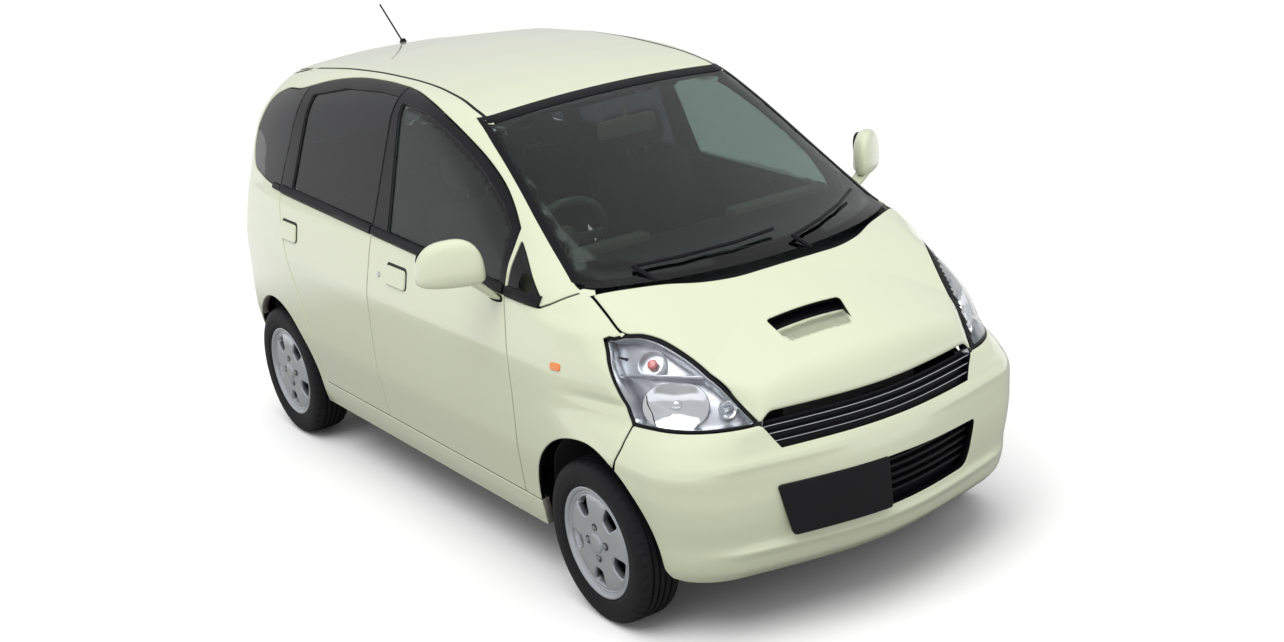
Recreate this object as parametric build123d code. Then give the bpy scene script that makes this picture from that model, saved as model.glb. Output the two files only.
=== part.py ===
from build123d import *
from math import cos, radians, sin
import os

os.makedirs("parts", exist_ok=True)

# ---------------------------------------------------------------------------
# Driving dimensions, in millimetres. +X is forward, +Y is the car's left, +Z is
# up, and the origin is on the ground in the middle of the length and the width.
# ---------------------------------------------------------------------------
LENGTH = 3395.0
WIDTH = 1475.0
HEIGHT = 1545.0
WHEELBASE = 2360.0
FRONT_OVERHANG = 605.0
FRONT_AXLE_X = LENGTH / 2 - FRONT_OVERHANG
REAR_AXLE_X = FRONT_AXLE_X - WHEELBASE
TRACK = 1295.0
TYRE_R = 265.5
TYRE_WIDTH = 155.0
RIM_FLANGE_R = 182.5
AXLE_Z = TYRE_R
WHEEL_Y = TRACK / 2

GAP = 5.0                 # shut lines between panels, whole width
SWING_ROOM = 4.0          # more gap all round, where a door or the tailgate swings past
WALL = 60.0               # doors, fenders and bumpers, skin to trim
PILLAR_WALL = 40.0        # window frames and pillars
ROOF_WALL = 28.0
BONNET_WALL = 24.0
GLASS = 5.0
ARCH_Z = AXLE_Z + 5
FRONT_ARCH_R = 332.0
REAR_ARCH_R = 314.0
DOOR_BOTTOM_Z = 308.0

NOSE_X = LENGTH / 2
TAIL_X = -LENGTH / 2

# Plan outlines of the body, a row for each height. Columns: z; nose on the centre line; end of the
# nose arc x, y; end of the front corner x, y; straight side's front end x, y and rear end x, y;
# start of the rear corner x, y; end of the tail arc x, y; tail on the centre line.
LOWER_LEVELS = [
    (205, 1602, 1520, 470, 1392, 640, 950, 690, -1000, 690, -1500, 652, -1628, 520, -1648),
    (343, 1674, 1574, 530, 1425, 672, 980, 712, -1050, 712, -1515, 684, -1660, 540, -1684),
    (490, NOSE_X, 1592, 540, 1434, 698, 950, 734, -1080, 734, -1510, 704, -1672, 545, TAIL_X),
    (600, 1692, 1584, 520, 1420, 680, 960, 737.5, -1080, 737.5, -1510, 708, -1668, 545, -1694),
    (700, 1661, 1574, 430, 1400, 630, 970, 731, -1080, 737, -1505, 707, -1658, 545, -1682),
    (800, 1600, 1505, 450, 1300, 630, 970, 725, -1080, 733, -1505, 703, -1658, 545, -1686),
    (900, 1500, 1360, 500, 1180, 652, 960, 706, -1080, 717, -1500, 688, -1656, 540, -1688),
    (1000, 1390, 1200, 560, 1070, 640, 900, 678, -1080, 695, -1492, 667, -1652, 528, -1688),
    (1030, 1330, 1150, 560, 1010, 615, 860, 664, -1080, 680, -1490, 655, -1648, 522, -1686),
]
UPPER_LEVELS = [
    (1000, 1296, 1024, 603, 930, 666, 850, 674, -1080, 690, -1492, 662, -1650, 526, -1688),
    (1250, 783, 630, 541, 575, 588, 300, 615, -1050, 615, -1470, 588, -1612, 485, -1645),
    (1475, 320, 250, 476, 200, 512, -100, 550, -900, 550, -1345, 525, -1465, 420, -1500),
    (1507, 254, 184, 462, 138, 492, -150, 524, -900, 524, -1320, 500, -1436, 405, -1470),
    (1527, 213, 143, 440, 100, 462, -180, 488, -900, 488, -1300, 466, -1412, 390, -1446),
    (1560, 145, 75, 400, 32, 415, -230, 430, -900, 430, -1265, 420, -1375, 360, -1410),
]
CORNER_BULGE = 0.2        # sagitta of a corner's arc, in parts of its chord

# Centre line of the bonnet and of the roof, and the far axes their crowns turn about.
BONNET_LINE = [(880, 1160), (1245, 1030), (1330, 979), (1400, 930), (1470, 875), (1540, 814), (1600, 757),
               (1661, 695)]
BONNET_AXIS_Z = -870.0
ROOF_LINE = [(360, 1462), (180, 1504), (-20, 1530), (-400, HEIGHT), (-860, 1534), (-1520, 1464)]
ROOF_AXIS_Z = HEIGHT - 4500

# Shut lines and windows in side view, x and z.
DOOR_SPLIT = [(-250, 1512), (-300, 1025), (-323, 777), (-336, 453), (-338, DOOR_BOTTOM_Z)]
# The rear door's front edge keeps further away towards the roof: as a front door opens, its top moves back.
REAR_DOOR_FRONT = [(-262, 1512), (-302, 1025), *DOOR_SPLIT[2:]]
FRONT_DOOR_LINE = [(658, DOOR_BOTTOM_Z), (696, 538), (703, 791), (668, 960), (655, 1000), (650, 1172)]
FRONT_DOOR_TOP = [(530, 1272), (400, 1345), (269, 1400), (120, 1450), (-19, 1484), (-150, 1504)]
REAR_DOOR_TOP = [(-420, 1512), (-700, 1498), (-900, 1472), (-1040, 1440)]
REAR_DOOR_LINE = [(-1135, 1050), (-1120, 960), (-1050, 800), (-975, 640), (-925, 500), (-905, DOOR_BOTTOM_Z)]
FRONT_WINDOW = [(-180, 1032), (-205, 1466), (-19, 1452), (120, 1418), (269, 1367), (400, 1310),
                (530, 1236), (612, 1168), (622, 1008)]
REAR_WINDOW = [(-307, 1040), (-266, 1480), (-420, 1480), (-700, 1465), (-966, 1417), (-1028, 1064)]
CORNER_WINDOW = [(668, 1004), (840, 985), (856, 998), (674, 1140)]
QUARTER_WINDOW = [(-1116, 1418), (-1205, 1062), (-1420, 1086), (-1478, 1130), (-1475, 1240), (-1400, 1350),
                  (-1280, 1402)]
REAR_GLASS = [(0, 1080), (470, 1085), (500, 1120), (430, 1385), (400, 1410), (0, 1422)]
TAILGATE_OUTLINE = [(0, 606), (470, 606), (530, 660), (545, 960), (545, 1180), (450, 1430), (410, 1500), (0, 1500)]
TAIL_LAMP = [(556, 700), (640, 700), (652, 980), (560, 1040)]

# Front end outlines: the bonnet in plan (x, y), the lamp in side view (x, z).
BONNET_EDGE = [(1034, 592), (1192, 590), (1242, 556), (1292, 528), (1342, 504), (1442, 465), (1542, 434),
               (1598, 410)]
COWL_EDGE = [(1232, 200), (1201, 297), (1145, 404), (1092, 497)]
COWL_CENTRE_X = 1247.0
LAMP_OUTLINE = [(1141, 923), (1200, 950), (1330, 930), (1600, 760), (1640, 694), (1287, 690)]
REAR_BUMPER_OUTLINE = [(-1800, 150), (-1560, 150), (-1540, 420), (-1590, 600), (-1800, 600)]
GRILLE_HALF_WIDTH = 400.0
GRILLE_Z = (630.0, 700.0)
INTAKE_OUTLINE = [(-372, 492), (372, 492), (342, 345), (-342, 345)]
SCOOP_Y = -75.0
SCOOP_WIDTH = 240.0

PLATE_PITCH = 210.0       # number plate bolts, hole to hole
PLATE_HOLE_R = 3.2
FRONT_PLATE_Y = -197.5
FRONT_PLATE_Z = 432.0
REAR_PLATE_Z = 800.0

TAILGATE_X = -1455.0      # top shut line, roof to tailgate
HINGE_X = 650.0
HINGE_Y = 728.0
KINGPIN_LOW = (FRONT_AXLE_X, 575.0, 180.0)
KINGPIN_TOP = (FRONT_AXLE_X, 500.0, 830.0)


# ---------------------------------------------------------------------------
# Shaping helpers
# ---------------------------------------------------------------------------
def prism_xz(points, y_low, y_high, grow=0.0):
    """Side-view outline, drawn across the car from y_low to y_high."""
    face = make_face(Polyline(*points, close=True))
    if grow:
        face = offset(face, grow, kind=Kind.INTERSECTION)
    return extrude(Plane(origin=(0, y_high, 0), x_dir=(1, 0, 0), z_dir=(0, -1, 0)) * face, y_high - y_low)


def prism_xy(points, z_low, z_high, grow=0.0):
    """Plan outline, drawn up from z_low to z_high."""
    face = make_face(Polyline(*points, close=True))
    if grow:
        face = offset(face, grow, kind=Kind.INTERSECTION)
    return extrude(Plane.XY.offset(z_low) * face, z_high - z_low)


def prism_yz(points, x_low, x_high, grow=0.0):
    """End-view outline, drawn forward from x_low to x_high."""
    face = make_face(Polyline(*points, close=True))
    if grow:
        face = offset(face, grow, kind=Kind.INTERSECTION)
    return extrude(Plane(origin=(x_low, 0, 0), x_dir=(0, 1, 0), z_dir=(1, 0, 0)) * face, x_high - x_low)


def block(x, y, z):
    """Box between two corners given as (low, high) pairs."""
    size = Box(x[1] - x[0], y[1] - y[0], z[1] - z[0])
    return Pos((x[0] + x[1]) / 2, (y[0] + y[1]) / 2, (z[0] + z[1]) / 2) * size


def both_sides(points):
    """Half outline (y, z) from the centre line, completed to the other side."""
    return points + [(-y, z) for y, z in reversed(points) if y > 0]


def both_halves(points):
    """Half outline (x, y) in plan from the centre line back to it, completed to the other side."""
    return points + [(x, -y) for x, y in reversed(points) if y > 0]


def rod(start, end, radius):
    """Round bar between two points."""
    way = Vector(*end) - Vector(*start)
    return extrude(Plane(origin=start, z_dir=way) * Circle(radius), way.length)


def cylinder_y(x, z, radius, y_low, y_high):
    """Disc or shaft along Y."""
    return rod((x, y_low, z), (x, y_high, z), radius)


def mirrored(shape):
    return mirror(shape, Plane.XZ)


def pair(shape):
    """The shape and its mirror image, as solids that don't touch."""
    return Compound(children=[*shape.solids(), *mirrored(shape).solids()])


def corner_arc(start, end):
    """Arc that bulges outwards between two points of an outline run clockwise in plan."""
    chord = Vector(*end) - Vector(*start)
    middle = (Vector(*start) + Vector(*end)) * 0.5
    side = Vector(chord.Y, -chord.X)
    if side.dot(middle) < 0:
        side = side * -1
    return ThreePointArc(start, middle + side * CORNER_BULGE, end)


def level_face(row, inset):
    """Closed plan outline of one level, moved in by inset."""
    z, nose, fx, fy, sx, sy, mx, my, qx, qy, rx, ry, tx, ty, tail = row
    f = (fx - inset, fy - 0.35 * inset)
    s = (sx - 0.4 * inset, sy - inset)
    m = (mx, my - inset)
    q = (qx, qy - inset)
    r = (rx + 0.4 * inset, ry - inset)
    t = (tx + inset, ty - 0.35 * inset)
    n = (nose - inset, 0)
    e = (tail + inset, 0)
    flip = [(p[0], -p[1]) for p in (f, s, m, q, r, t)]
    edges = [
        ThreePointArc(flip[0], n, f), corner_arc(f, s), Line(s, m), Line(m, q), Line(q, r), corner_arc(r, t),
        ThreePointArc(t, e, flip[5]), corner_arc(flip[5], flip[4]), Line(flip[4], flip[3]),
        Line(flip[3], flip[2]), Line(flip[2], flip[1]), corner_arc(flip[1], flip[0]),
    ]
    return Plane.XY.offset(z) * make_face(edges)


def level_loft(rows, inset, bottom=None):
    faces = [level_face(row, inset) for row in rows]
    if bottom is not None:
        faces[0] = level_face((bottom, *rows[0][1:]), inset)
    return loft(faces, ruled=True)


def crown_cut(line, axis_z, lowered):
    """Everything above a crowned surface: its centre line turned about a far axis along X."""
    points = [(x, z - lowered) for x, z in line]
    low_end = [(points[-1][0] + 400 * (1 if points[-1][0] > points[0][0] else -1), points[-1][1] - 380)]
    first_out = points[0][0] - 400 * (1 if points[-1][0] > points[0][0] else -1)
    points = [(first_out, points[0][1])] + points + low_end
    outline = points + [(points[-1][0], 2000), (points[0][0], 2000)]
    face = Plane.XZ * make_face(Polyline(*outline, close=True))
    axis = Axis((0, 0, axis_z), (1, 0, 0))
    half = 36 if axis_z > -2000 else 12
    return revolve(face.rotate(axis, -half), axis, 2 * half)


def body_blank(low_inset, up_inset, roof_drop, bonnet_drop, bottom=None):
    """Whole body as one solid; the insets and drops give the matching inner surface."""
    low = level_loft(LOWER_LEVELS, low_inset, bottom) - crown_cut(BONNET_LINE, BONNET_AXIS_Z, bonnet_drop)
    up = level_loft(UPPER_LEVELS, up_inset) - crown_cut(ROOF_LINE, ROOF_AXIS_Z, roof_drop)
    return low + up


# ---------------------------------------------------------------------------
# Body skin: one thick shell, cut along the shut lines
# ---------------------------------------------------------------------------
outer = body_blank(0.0, 0.0, 0.0, 0.0)
inner = body_blank(WALL, PILLAR_WALL, ROOF_WALL, BONNET_WALL, bottom=150.0)
for axle_x, arch_r in ((FRONT_AXLE_X, FRONT_ARCH_R), (REAR_AXLE_X, REAR_ARCH_R)):
    outer -= cylinder_y(axle_x, ARCH_Z, arch_r, 380, 800)
    outer -= cylinder_y(axle_x, ARCH_Z, arch_r, -800, -380)
shell = outer - inner

SIDE = (472.0, 760.0)     # reach across the car of a side panel's outline
front_door_outline = DOOR_SPLIT + FRONT_DOOR_LINE + FRONT_DOOR_TOP
rear_door_outline = REAR_DOOR_FRONT + REAR_DOOR_LINE[::-1] + REAR_DOOR_TOP[::-1]

bonnet_outline = both_halves(
    [(COWL_CENTRE_X, 0)] + COWL_EDGE + BONNET_EDGE + [(1640, 260), (1668, 130), (1680, 0)])
windscreen_outline = both_halves([
    (COWL_CENTRE_X + 60, 0), (1200, 380), (1080, 520), (985, 585), (905, 588), (640, 536), (300, 470),
    (262, 462), (318, 240), (334, 0)])
door_openings = pair(prism_xz(front_door_outline, *SIDE) + prism_xz(rear_door_outline, *SIDE))
window_cuts = {
    "front": prism_xz(FRONT_WINDOW, *SIDE),
    "rear": prism_xz(REAR_WINDOW, *SIDE),
    "corner": prism_xz(CORNER_WINDOW, *SIDE),
    "quarter": prism_xz(QUARTER_WINDOW, *SIDE),
}
tailgate_zone = prism_yz(both_sides(TAILGATE_OUTLINE), TAIL_X - 20, TAILGATE_X)
windscreen_zone = prism_xy(windscreen_outline, 1046, 1462)


def grown(points, *span, way=prism_xz):
    """An outline's prism, half a shut line larger all round."""
    return way(points, *span, grow=GAP / 2)


def biggest(shape):
    """The largest solid of a shape, without the slivers a cut may leave."""
    return sorted(shape.solids(), key=lambda solid: solid.volume)[-1]


# Bonnet, with the scoop standing on its right half
bonnet = shell & prism_xy(bonnet_outline, 703 + GAP, 1200, grow=-GAP / 2)
scoop_hood = prism_xz([(1335, 960), (1418, 940), (1436, 880), (1300, 880)],
                      SCOOP_Y - SCOOP_WIDTH / 2, SCOOP_Y + SCOOP_WIDTH / 2)
bonnet = bonnet + (scoop_hood & (outer + Pos(0, 0, 14) * outer)) - (inner & scoop_hood)

# Fenders, from the front door to the lamp and the bumper
fender_outline = [(658, 262), (696, 538), (703, 791), (668, 962), (862, 974), (985, 1040), (1141, 1040), (1141, 923),
                  (1287, 688), (1240, 545), (1240, 262)]
fender = shell & prism_xz(fender_outline, *SIDE, grow=-GAP / 2)
fender = fender - prism_xy(bonnet_outline, 650, 1200, grow=GAP / 2) - block((640, 880), (0, 760), (0, DOOR_BOTTOM_Z))
fender = fender - block((600, 1241), (0, 470), (200, 1200))

# Head lamps: solid lens and housing in the corner of the nose
lamp = shell & prism_xz(LAMP_OUTLINE, 404, 760, grow=-GAP / 2)
lamp = lamp - prism_xy(bonnet_outline, 650, 1200, grow=GAP / 2 + SWING_ROOM)

# Front bumper, with the grille slot above it and the intake through it
bumper_outline = [(1240, 150), (1240, 545), (1287, 688), (1800, 688), (1800, 150)]
front_bumper = shell & prism_xz(bumper_outline, -760, 760, grow=-GAP / 2)
front_bumper = front_bumper + (
    shell & block((1560, 1720), (-404, 404), (680, 703)) - prism_xy(bonnet_outline, 702, 1200, grow=GAP / 2))
grille_slot = block((1500, 1760), (-GRILLE_HALF_WIDTH, GRILLE_HALF_WIDTH), GRILLE_Z)
intake_slot = prism_yz(INTAKE_OUTLINE, 1500, 1760)
front_bumper = front_bumper - grille_slot - intake_slot - block((1640, 1760), (-368, -27), (342, 523))
front_bumper = front_bumper - cylinder_y(FRONT_AXLE_X, ARCH_Z, FRONT_ARCH_R, -800, 800)

# Grille: three slats and a back plate in the slot
grille_back = (shell & grille_slot) & (Pos(-28, 0, 0) * outer) - (Pos(-34, 0, 0) * outer)
slats = Part()
for slat_z in (643.0, 662.0, 681.0):
    slats += (outer & block((1500, 1760), (-GRILLE_HALF_WIDTH, GRILLE_HALF_WIDTH), (slat_z - 3, slat_z + 3))) \
        - (Pos(-30, 0, 0) * outer)
grille = (grille_back + (Pos(-6, 0, 0) * slats) & grille_slot)

# Intake: dark bars set back in the bumper, with the plate carrier to the car's right
intake = (shell & intake_slot) & (Pos(-30, 0, 0) * outer) - (Pos(-40, 0, 0) * outer)
carrier = block((1652, 1660), (-365, -30), (345, 520))
intake = intake + carrier + block((1625, 1655), (-280, -115), (400, 440))
for hole_y in (FRONT_PLATE_Y - PLATE_PITCH / 2, FRONT_PLATE_Y + PLATE_PITCH / 2):
    intake = intake - rod((1645, hole_y, FRONT_PLATE_Z), (1665, hole_y, FRONT_PLATE_Z), PLATE_HOLE_R)

# Roof, windscreen and rear
roof_zone = prism_xy([(420, -458), (250, -462), (-100, -436), (-1600, -436), (-1600, 436), (-100, 436),
                      (250, 462), (420, 458)], 1400, 1600)
roof_cut = block((-1800, TAILGATE_X + GAP), (-700, 700), (1300, 1600))
windscreen_glass = (outer & windscreen_zone) - (Pos(-6, 0, -3) * outer)
roof_panel = (shell & roof_zone) - roof_cut - prism_xy(windscreen_outline, 1000, 1600, grow=GAP / 2)

# Body sides: pillars, roof rails, sills and rear quarters
side_outline = [(775, 200), (775, 303), (660, 303), (696, 538), (703, 791), (665, 962), (862, 974), (1000, 1045),
                (1000, 1600), (-1800, 1600), (-1800, 200)]
side = shell & prism_xz(side_outline, 380, 760, grow=-GAP / 2)
for door_outline in (front_door_outline, rear_door_outline):
    side = side - prism_xz(door_outline, *SIDE, grow=GAP / 2 + SWING_ROOM)
side = side - window_cuts["corner"] - window_cuts["quarter"]
side = side - prism_xy(windscreen_outline, 1000, 1600, grow=GAP / 2) - grown(REAR_BUMPER_OUTLINE, 0, 800)
side = side - prism_xy([(420, -460.5), (420, 460.5), (250, 464.5), (-100, 438.5), (-1800, 438.5), (-1800, -438.5)],
                       1400, 1600)
side = side - prism_yz(both_sides(TAILGATE_OUTLINE), TAIL_X - 20, TAILGATE_X + GAP, grow=GAP / 2 + SWING_ROOM)
side = side - prism_yz(TAIL_LAMP, TAIL_X - 20, -1560, grow=GAP / 2)
body_sides = pair(biggest(side))

# Doors, each as thick as its wall, with a flap handle standing out of the skin
HANDLES = {"front": (-85, 896), "rear": (-1004, 905)}
HANDLE_SIZE = (150.0, 78.0)
HANDLE_PROUD = 12.0
DOOR_OUTLINES = {"front": front_door_outline, "rear": rear_door_outline}
for end, outline in DOOR_OUTLINES.items():
    zone = prism_xz(outline, *SIDE, grow=-GAP / 2)
    door = (shell & zone) - window_cuts[end]
    x, z = HANDLES[end]
    pad = block((x - HANDLE_SIZE[0] / 2, x + HANDLE_SIZE[0] / 2), (600, 760),
                (z - HANDLE_SIZE[1] / 2, z + HANDLE_SIZE[1] / 2))
    door = biggest(door + ((Pos(0, HANDLE_PROUD, 0) * outer & pad & zone) - inner))
    export_step(door, f"parts/door_{end}_left.step")
    export_step(mirrored(door), f"parts/door_{end}_right.step")
    pane = ((Pos(0, -10, 0) * outer) & window_cuts[end]) - (Pos(0, -10 - GLASS, 0) * outer)
    export_step(biggest(pane), f"parts/door_glass_{end}_left.step")
    export_step(mirrored(biggest(pane)), f"parts/door_glass_{end}_right.step")

side_glass = Compound(children=[
    biggest(((Pos(0, -6, 0) * outer) & window_cuts[name]) - (Pos(0, -6 - GLASS, 0) * outer))
    for name in ("corner", "quarter")])

# Tailgate, its glass, the tail lamps and the rear bumper
rear_glass_zone = prism_yz(both_sides(REAR_GLASS)[:-1], TAIL_X - 20, TAILGATE_X)
tailgate = biggest((shell & prism_yz(both_sides(TAILGATE_OUTLINE), TAIL_X - 20, TAILGATE_X, grow=-GAP / 2))
                   - rear_glass_zone)
for hole_y in (-PLATE_PITCH / 2, PLATE_PITCH / 2):
    tailgate = tailgate - rod((TAIL_X - 20, hole_y, REAR_PLATE_Z), (-1655, hole_y, REAR_PLATE_Z), PLATE_HOLE_R)
tailgate_glass = biggest(((Pos(8, 0, 0) * outer) & rear_glass_zone) - (Pos(8 + GLASS, 0, 0) * outer))
tail_lamp = biggest(shell & prism_yz(TAIL_LAMP, TAIL_X - 20, -1560, grow=-GAP / 2))
rear_bumper = biggest((shell & prism_xz(REAR_BUMPER_OUTLINE, -760, 760, grow=-GAP / 2))
                      - cylinder_y(REAR_AXLE_X, ARCH_Z, REAR_ARCH_R, -800, 800)
                      - block((-1720, -1560), (-330, -250), (150, 285)))

# Wipers: two arms bent along the foot of the glass
def on_windscreen(y, z, proud):
    """Point just above the windscreen at height z."""
    low, high = UPPER_LEVELS[0], UPPER_LEVELS[1]
    part = (z - low[0]) / (high[0] - low[0])
    nose = low[1] + part * (high[1] - low[1])
    edge = low[2] + part * (high[2] - low[2])
    half = low[3] + part * (high[3] - low[3])
    return (nose - (nose - edge) * (y / half) ** 2 + proud, y, z + proud)


WIPERS = [((-440, 1066), (-300, 1074), (-120, 1082), (30, 1088)), ((70, 1064), (220, 1074), (350, 1082), (470, 1090))]
wipers = []
for route in WIPERS:
    points = [on_windscreen(y, z, 15) for y, z in route]
    arm = rod(points[0], points[1], 6)
    for start, end in zip(points[1:-1], points[2:]):
        arm = arm + rod(start, end, 6) + Pos(*start) * Sphere(6)
    foot = on_windscreen(route[0][0] + 30, 1034, 8)
    arm = arm + rod(points[0], foot, 7) + Pos(*points[0]) * Sphere(7)
    wipers.append(biggest(arm))

# Aerial on the roof's centre line, leaning back
AERIAL_FOOT = (-1267.0, 0.0, 1492.0)
AERIAL_TIP = (-1437.0, 0.0, 1636.0)
aerial = rod(AERIAL_FOOT, AERIAL_TIP, 3.5)
aerial = biggest(aerial + Pos(*AERIAL_FOOT) * Cone(26, 9, 34) - outer)

# ---------------------------------------------------------------------------
# Floor, bulkhead, running gear mountings and cabin
# ---------------------------------------------------------------------------
FLOOR_Z = (212.0, 232.0)
REAR_FLOOR_Z = 372.0
LUGGAGE_Z = 520.0


def slab(x, z, y=760.0):
    """Plate of the floor between two x and two z, trimmed to the inner walls."""
    return inner & block(x, (-y, y), z)


floor = slab((-440, 758), FLOOR_Z) + slab((757, 992), FLOOR_Z, 392)
floor = floor + slab((-440, -425), (FLOOR_Z[0], REAR_FLOOR_Z)) + slab((-960, -426), (REAR_FLOOR_Z - 14, REAR_FLOOR_Z))
floor = floor + slab((-892, -880), (REAR_FLOOR_Z - 14, LUGGAGE_Z), 533) + slab((-1628, -880), (LUGGAGE_Z - 14, LUGGAGE_Z), 533)
floor = floor + slab((-1600, -960), (REAR_FLOOR_Z - 14, REAR_FLOOR_Z), 533) + block((-420, 980), (-110, 110), (231, 300))
wheelhouse = cylinder_y(REAR_AXLE_X, ARCH_Z, REAR_ARCH_R + 9, 533, 680) - cylinder_y(
    REAR_AXLE_X, ARCH_Z, REAR_ARCH_R + 3, 539, 680)
wheelhouse = (wheelhouse & block((-1640, -880), (500, 760), (312, 700))) & inner
floor_pan = biggest(floor + wheelhouse + mirrored(wheelhouse))

# Bulkhead with the cowl on top, below the foot of the windscreen
bulkhead = inner & block((992, 1004), (-760, 760), (FLOOR_Z[0], 1000))
bulkhead = bulkhead - cylinder_y(FRONT_AXLE_X, ARCH_Z, FRONT_ARCH_R + 8, 388, 800) \
    - cylinder_y(FRONT_AXLE_X, ARCH_Z, FRONT_ARCH_R + 8, -800, -388)
cowl_outline = both_halves([(COWL_CENTRE_X - 8, 0), (1224, 200), (1193, 297), (1137, 404), (1084, 492), (1028, 584),
                            (960, 590), (960, 0)])
cowl = (outer & prism_xy(cowl_outline, 985, 1012)) - crown_cut(BONNET_LINE, BONNET_AXIS_Z, BONNET_WALL + 8)
bulkhead = biggest(bulkhead + cowl)

# Front frame: rails, wheelhouses, strut towers, crossmember, lower arms and drive shafts
RAIL_Y = (345.0, 388.0)
frame_half = block((1004, 1546), RAIL_Y, (380, 460))
house = cylinder_y(FRONT_AXLE_X, ARCH_Z, FRONT_ARCH_R + 8, 388, 672) - cylinder_y(
    FRONT_AXLE_X, ARCH_Z, FRONT_ARCH_R + 3, 394, 700)
house = house & block((756, 1430), (380, 676), (300, 700)) & inner
strut_axis = (Vector(*KINGPIN_TOP) - Vector(*KINGPIN_LOW)).normalized()
house = house - rod(tuple(Vector(*KINGPIN_LOW) + strut_axis * 380), tuple(Vector(*KINGPIN_TOP)), 75)
tower = block((1004, 1192), (394, 600), (846, 858)) + block((1004, 1192), (388, 400), (440, 858))
tower = tower & inner
arm = block((1070, 1115), (300, 560), (158, 176)) + block((1015, 1170), (280, 330), (150, 190))
shaft = cylinder_y(FRONT_AXLE_X, AXLE_Z, 13, 240, 528) + cylinder_y(FRONT_AXLE_X, AXLE_Z, 36, 240, 310)
frame_half = frame_half + house + tower + arm + block((1040, 1145), (290, 346), (170, 400))
crossmember = block((1040, 1145), (-300, 300), (170, 200)) + block((1524, 1546), (-388, 388), (380, 470))
front_frame = frame_half + mirrored(frame_half) + crossmember
front_frame = biggest(front_frame - cylinder_y(FRONT_AXLE_X, AXLE_Z, 45, -400, 400))

# Engine and gearbox as one block, with the inner drive shafts
engine = block((1150, 1500), (-260, 250), (300, 740)) + block((1060, 1200), (-200, 240), (215, 520))
engine = biggest(engine + shaft + mirrored(shaft))

# Rear axle: torsion beam, trailing arms, springs and stub axles
beam = block((-1180, -1120), (-480, 480), (235, 300))
trailing = block((-1300, -840), (440, 485), (235, 285)) + cylinder_y(-840, 268, 30, 430, 495)
stub = cylinder_y(REAR_AXLE_X, AXLE_Z, 42, 440, 590) + cylinder_y(REAR_AXLE_X, AXLE_Z, 15, 560, 690)
spring = rod((-1170, 400, 290), (-1170, 400, REAR_FLOOR_Z - 14), 45)
damper = rod((-1330, 470, 260), (-1330, 470, 355), 22)
carrier_rear = block((-1345, -1240), (440, 490), (235, 300))
rear_axle = beam + trailing + stub + spring + damper + carrier_rear
rear_axle = rear_axle + mirrored(trailing + stub + spring + damper + carrier_rear)
rear_axle = biggest(rear_axle)

fuel_tank = block((-830, -450), (-290, 380), (205, 352))
EXHAUST_ROUTE = [(1120, -330, 190), (400, -330, 180), (-860, -345, 178), (-1060, -250, 205), (-1380, -250, 225)]
exhaust = Part()
for start, end in zip(EXHAUST_ROUTE, EXHAUST_ROUTE[1:]):
    exhaust += rod(start, end, 20) + Pos(*end) * Sphere(20)
exhaust += block((-1570, -1380), (-330, 120), (205, 340))
exhaust += rod((-1560, -290, 250), (-1672, -290, 236), 20)

# Dashboard with the steering column's shroud
COLUMN_TILT = 25.0
STEERING_CENTRE = (423.0, -330.0, 1022.0)
column_way = Vector(-cos(radians(COLUMN_TILT)), 0, sin(radians(COLUMN_TILT)))
dash_profile = [(988, 640), (988, 985), (960, 1004), (760, 1004), (690, 985), (650, 930), (640, 760), (720, 640)]
dashboard = prism_xz(dash_profile, -600, 600) & (Pos(0, 0, -8) * inner)
shroud_top = Vector(*STEERING_CENTRE) - column_way * 60
shroud_foot = Vector(*STEERING_CENTRE) - column_way * 330
dashboard = dashboard + rod(tuple(shroud_foot), tuple(shroud_top), 42)
dashboard = dashboard - rod(tuple(Vector(*STEERING_CENTRE) - column_way * 250), tuple(STEERING_CENTRE), 14)
dashboard = biggest(dashboard - bulkhead)

wheel_plane = Plane(origin=STEERING_CENTRE, x_dir=(0, 1, 0), z_dir=tuple(column_way))
STEERING_R = 180.0
steering_wheel = wheel_plane * (Torus(STEERING_R, 14) + Pos(0, 0, -14) * Cylinder(55, 40))
steering_wheel = steering_wheel + wheel_plane * (
    Pos(0, 0, -8) * Box(2 * STEERING_R - 10, 34, 12) + Pos(0, -STEERING_R / 2, -8) * Box(40, STEERING_R, 12))
steering_wheel = steering_wheel + rod(
    tuple(Vector(*STEERING_CENTRE) - column_way * 230), tuple(STEERING_CENTRE), 10)
steering_wheel = biggest(steering_wheel)

# Seats
SEAT_SIDE = [(40, 300), (470, 330), (500, 540), (480, 590), (80, 560), (40, 700), (-60, 1120), (-130, 1130),
             (-150, 1060), (-60, 560)]
HEADREST = [(-78, 1120), (-70, 1150), (-90, 1270), (-165, 1275), (-160, 1140), (-120, 1120)]
seat = prism_xz(SEAT_SIDE, 90 + 15, 90 + 485) + prism_xz(HEADREST, 215, 465)
seat = seat + block((60, 440), (140, 540), (232, 331))
front_seats = pair(biggest(seat))
REAR_SEAT = [(-340, REAR_FLOOR_Z), (-330, 560), (-360, 585), (-760, 545), (-800, 650), (-862, 1060), (-872, 1075),
             (-878, 1000), (-868, REAR_FLOOR_Z)]
rear_seat = prism_xz(REAR_SEAT, -530, 530)
for y in (-280, 280):
    rear_seat += prism_xz([(-790, 1030), (-800, 1190), (-855, 1195), (-872, 1030)], y - 115, y + 115)

# Room mirror, hung from the windscreen's head
room_mirror = block((388, 408), (-125, 105), (1318, 1382)) + rod((400, -10, 1370), (395, -10, 1420), 8)

# Door mirrors on their stalks
MIRROR_BOX = [(690, 765), (720, 790), (655, 938), (600, 940), (585, 900), (610, 765)]
mirror_left = prism_xy(MIRROR_BOX, 1032, 1200)
mirror_left = mirror_left + prism_yz([(722, 960), (735, 950), (830, 1020), (830, 1040), (770, 1045)], 625, 655) \
    - Pos(0, 2, 0) * outer

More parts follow.
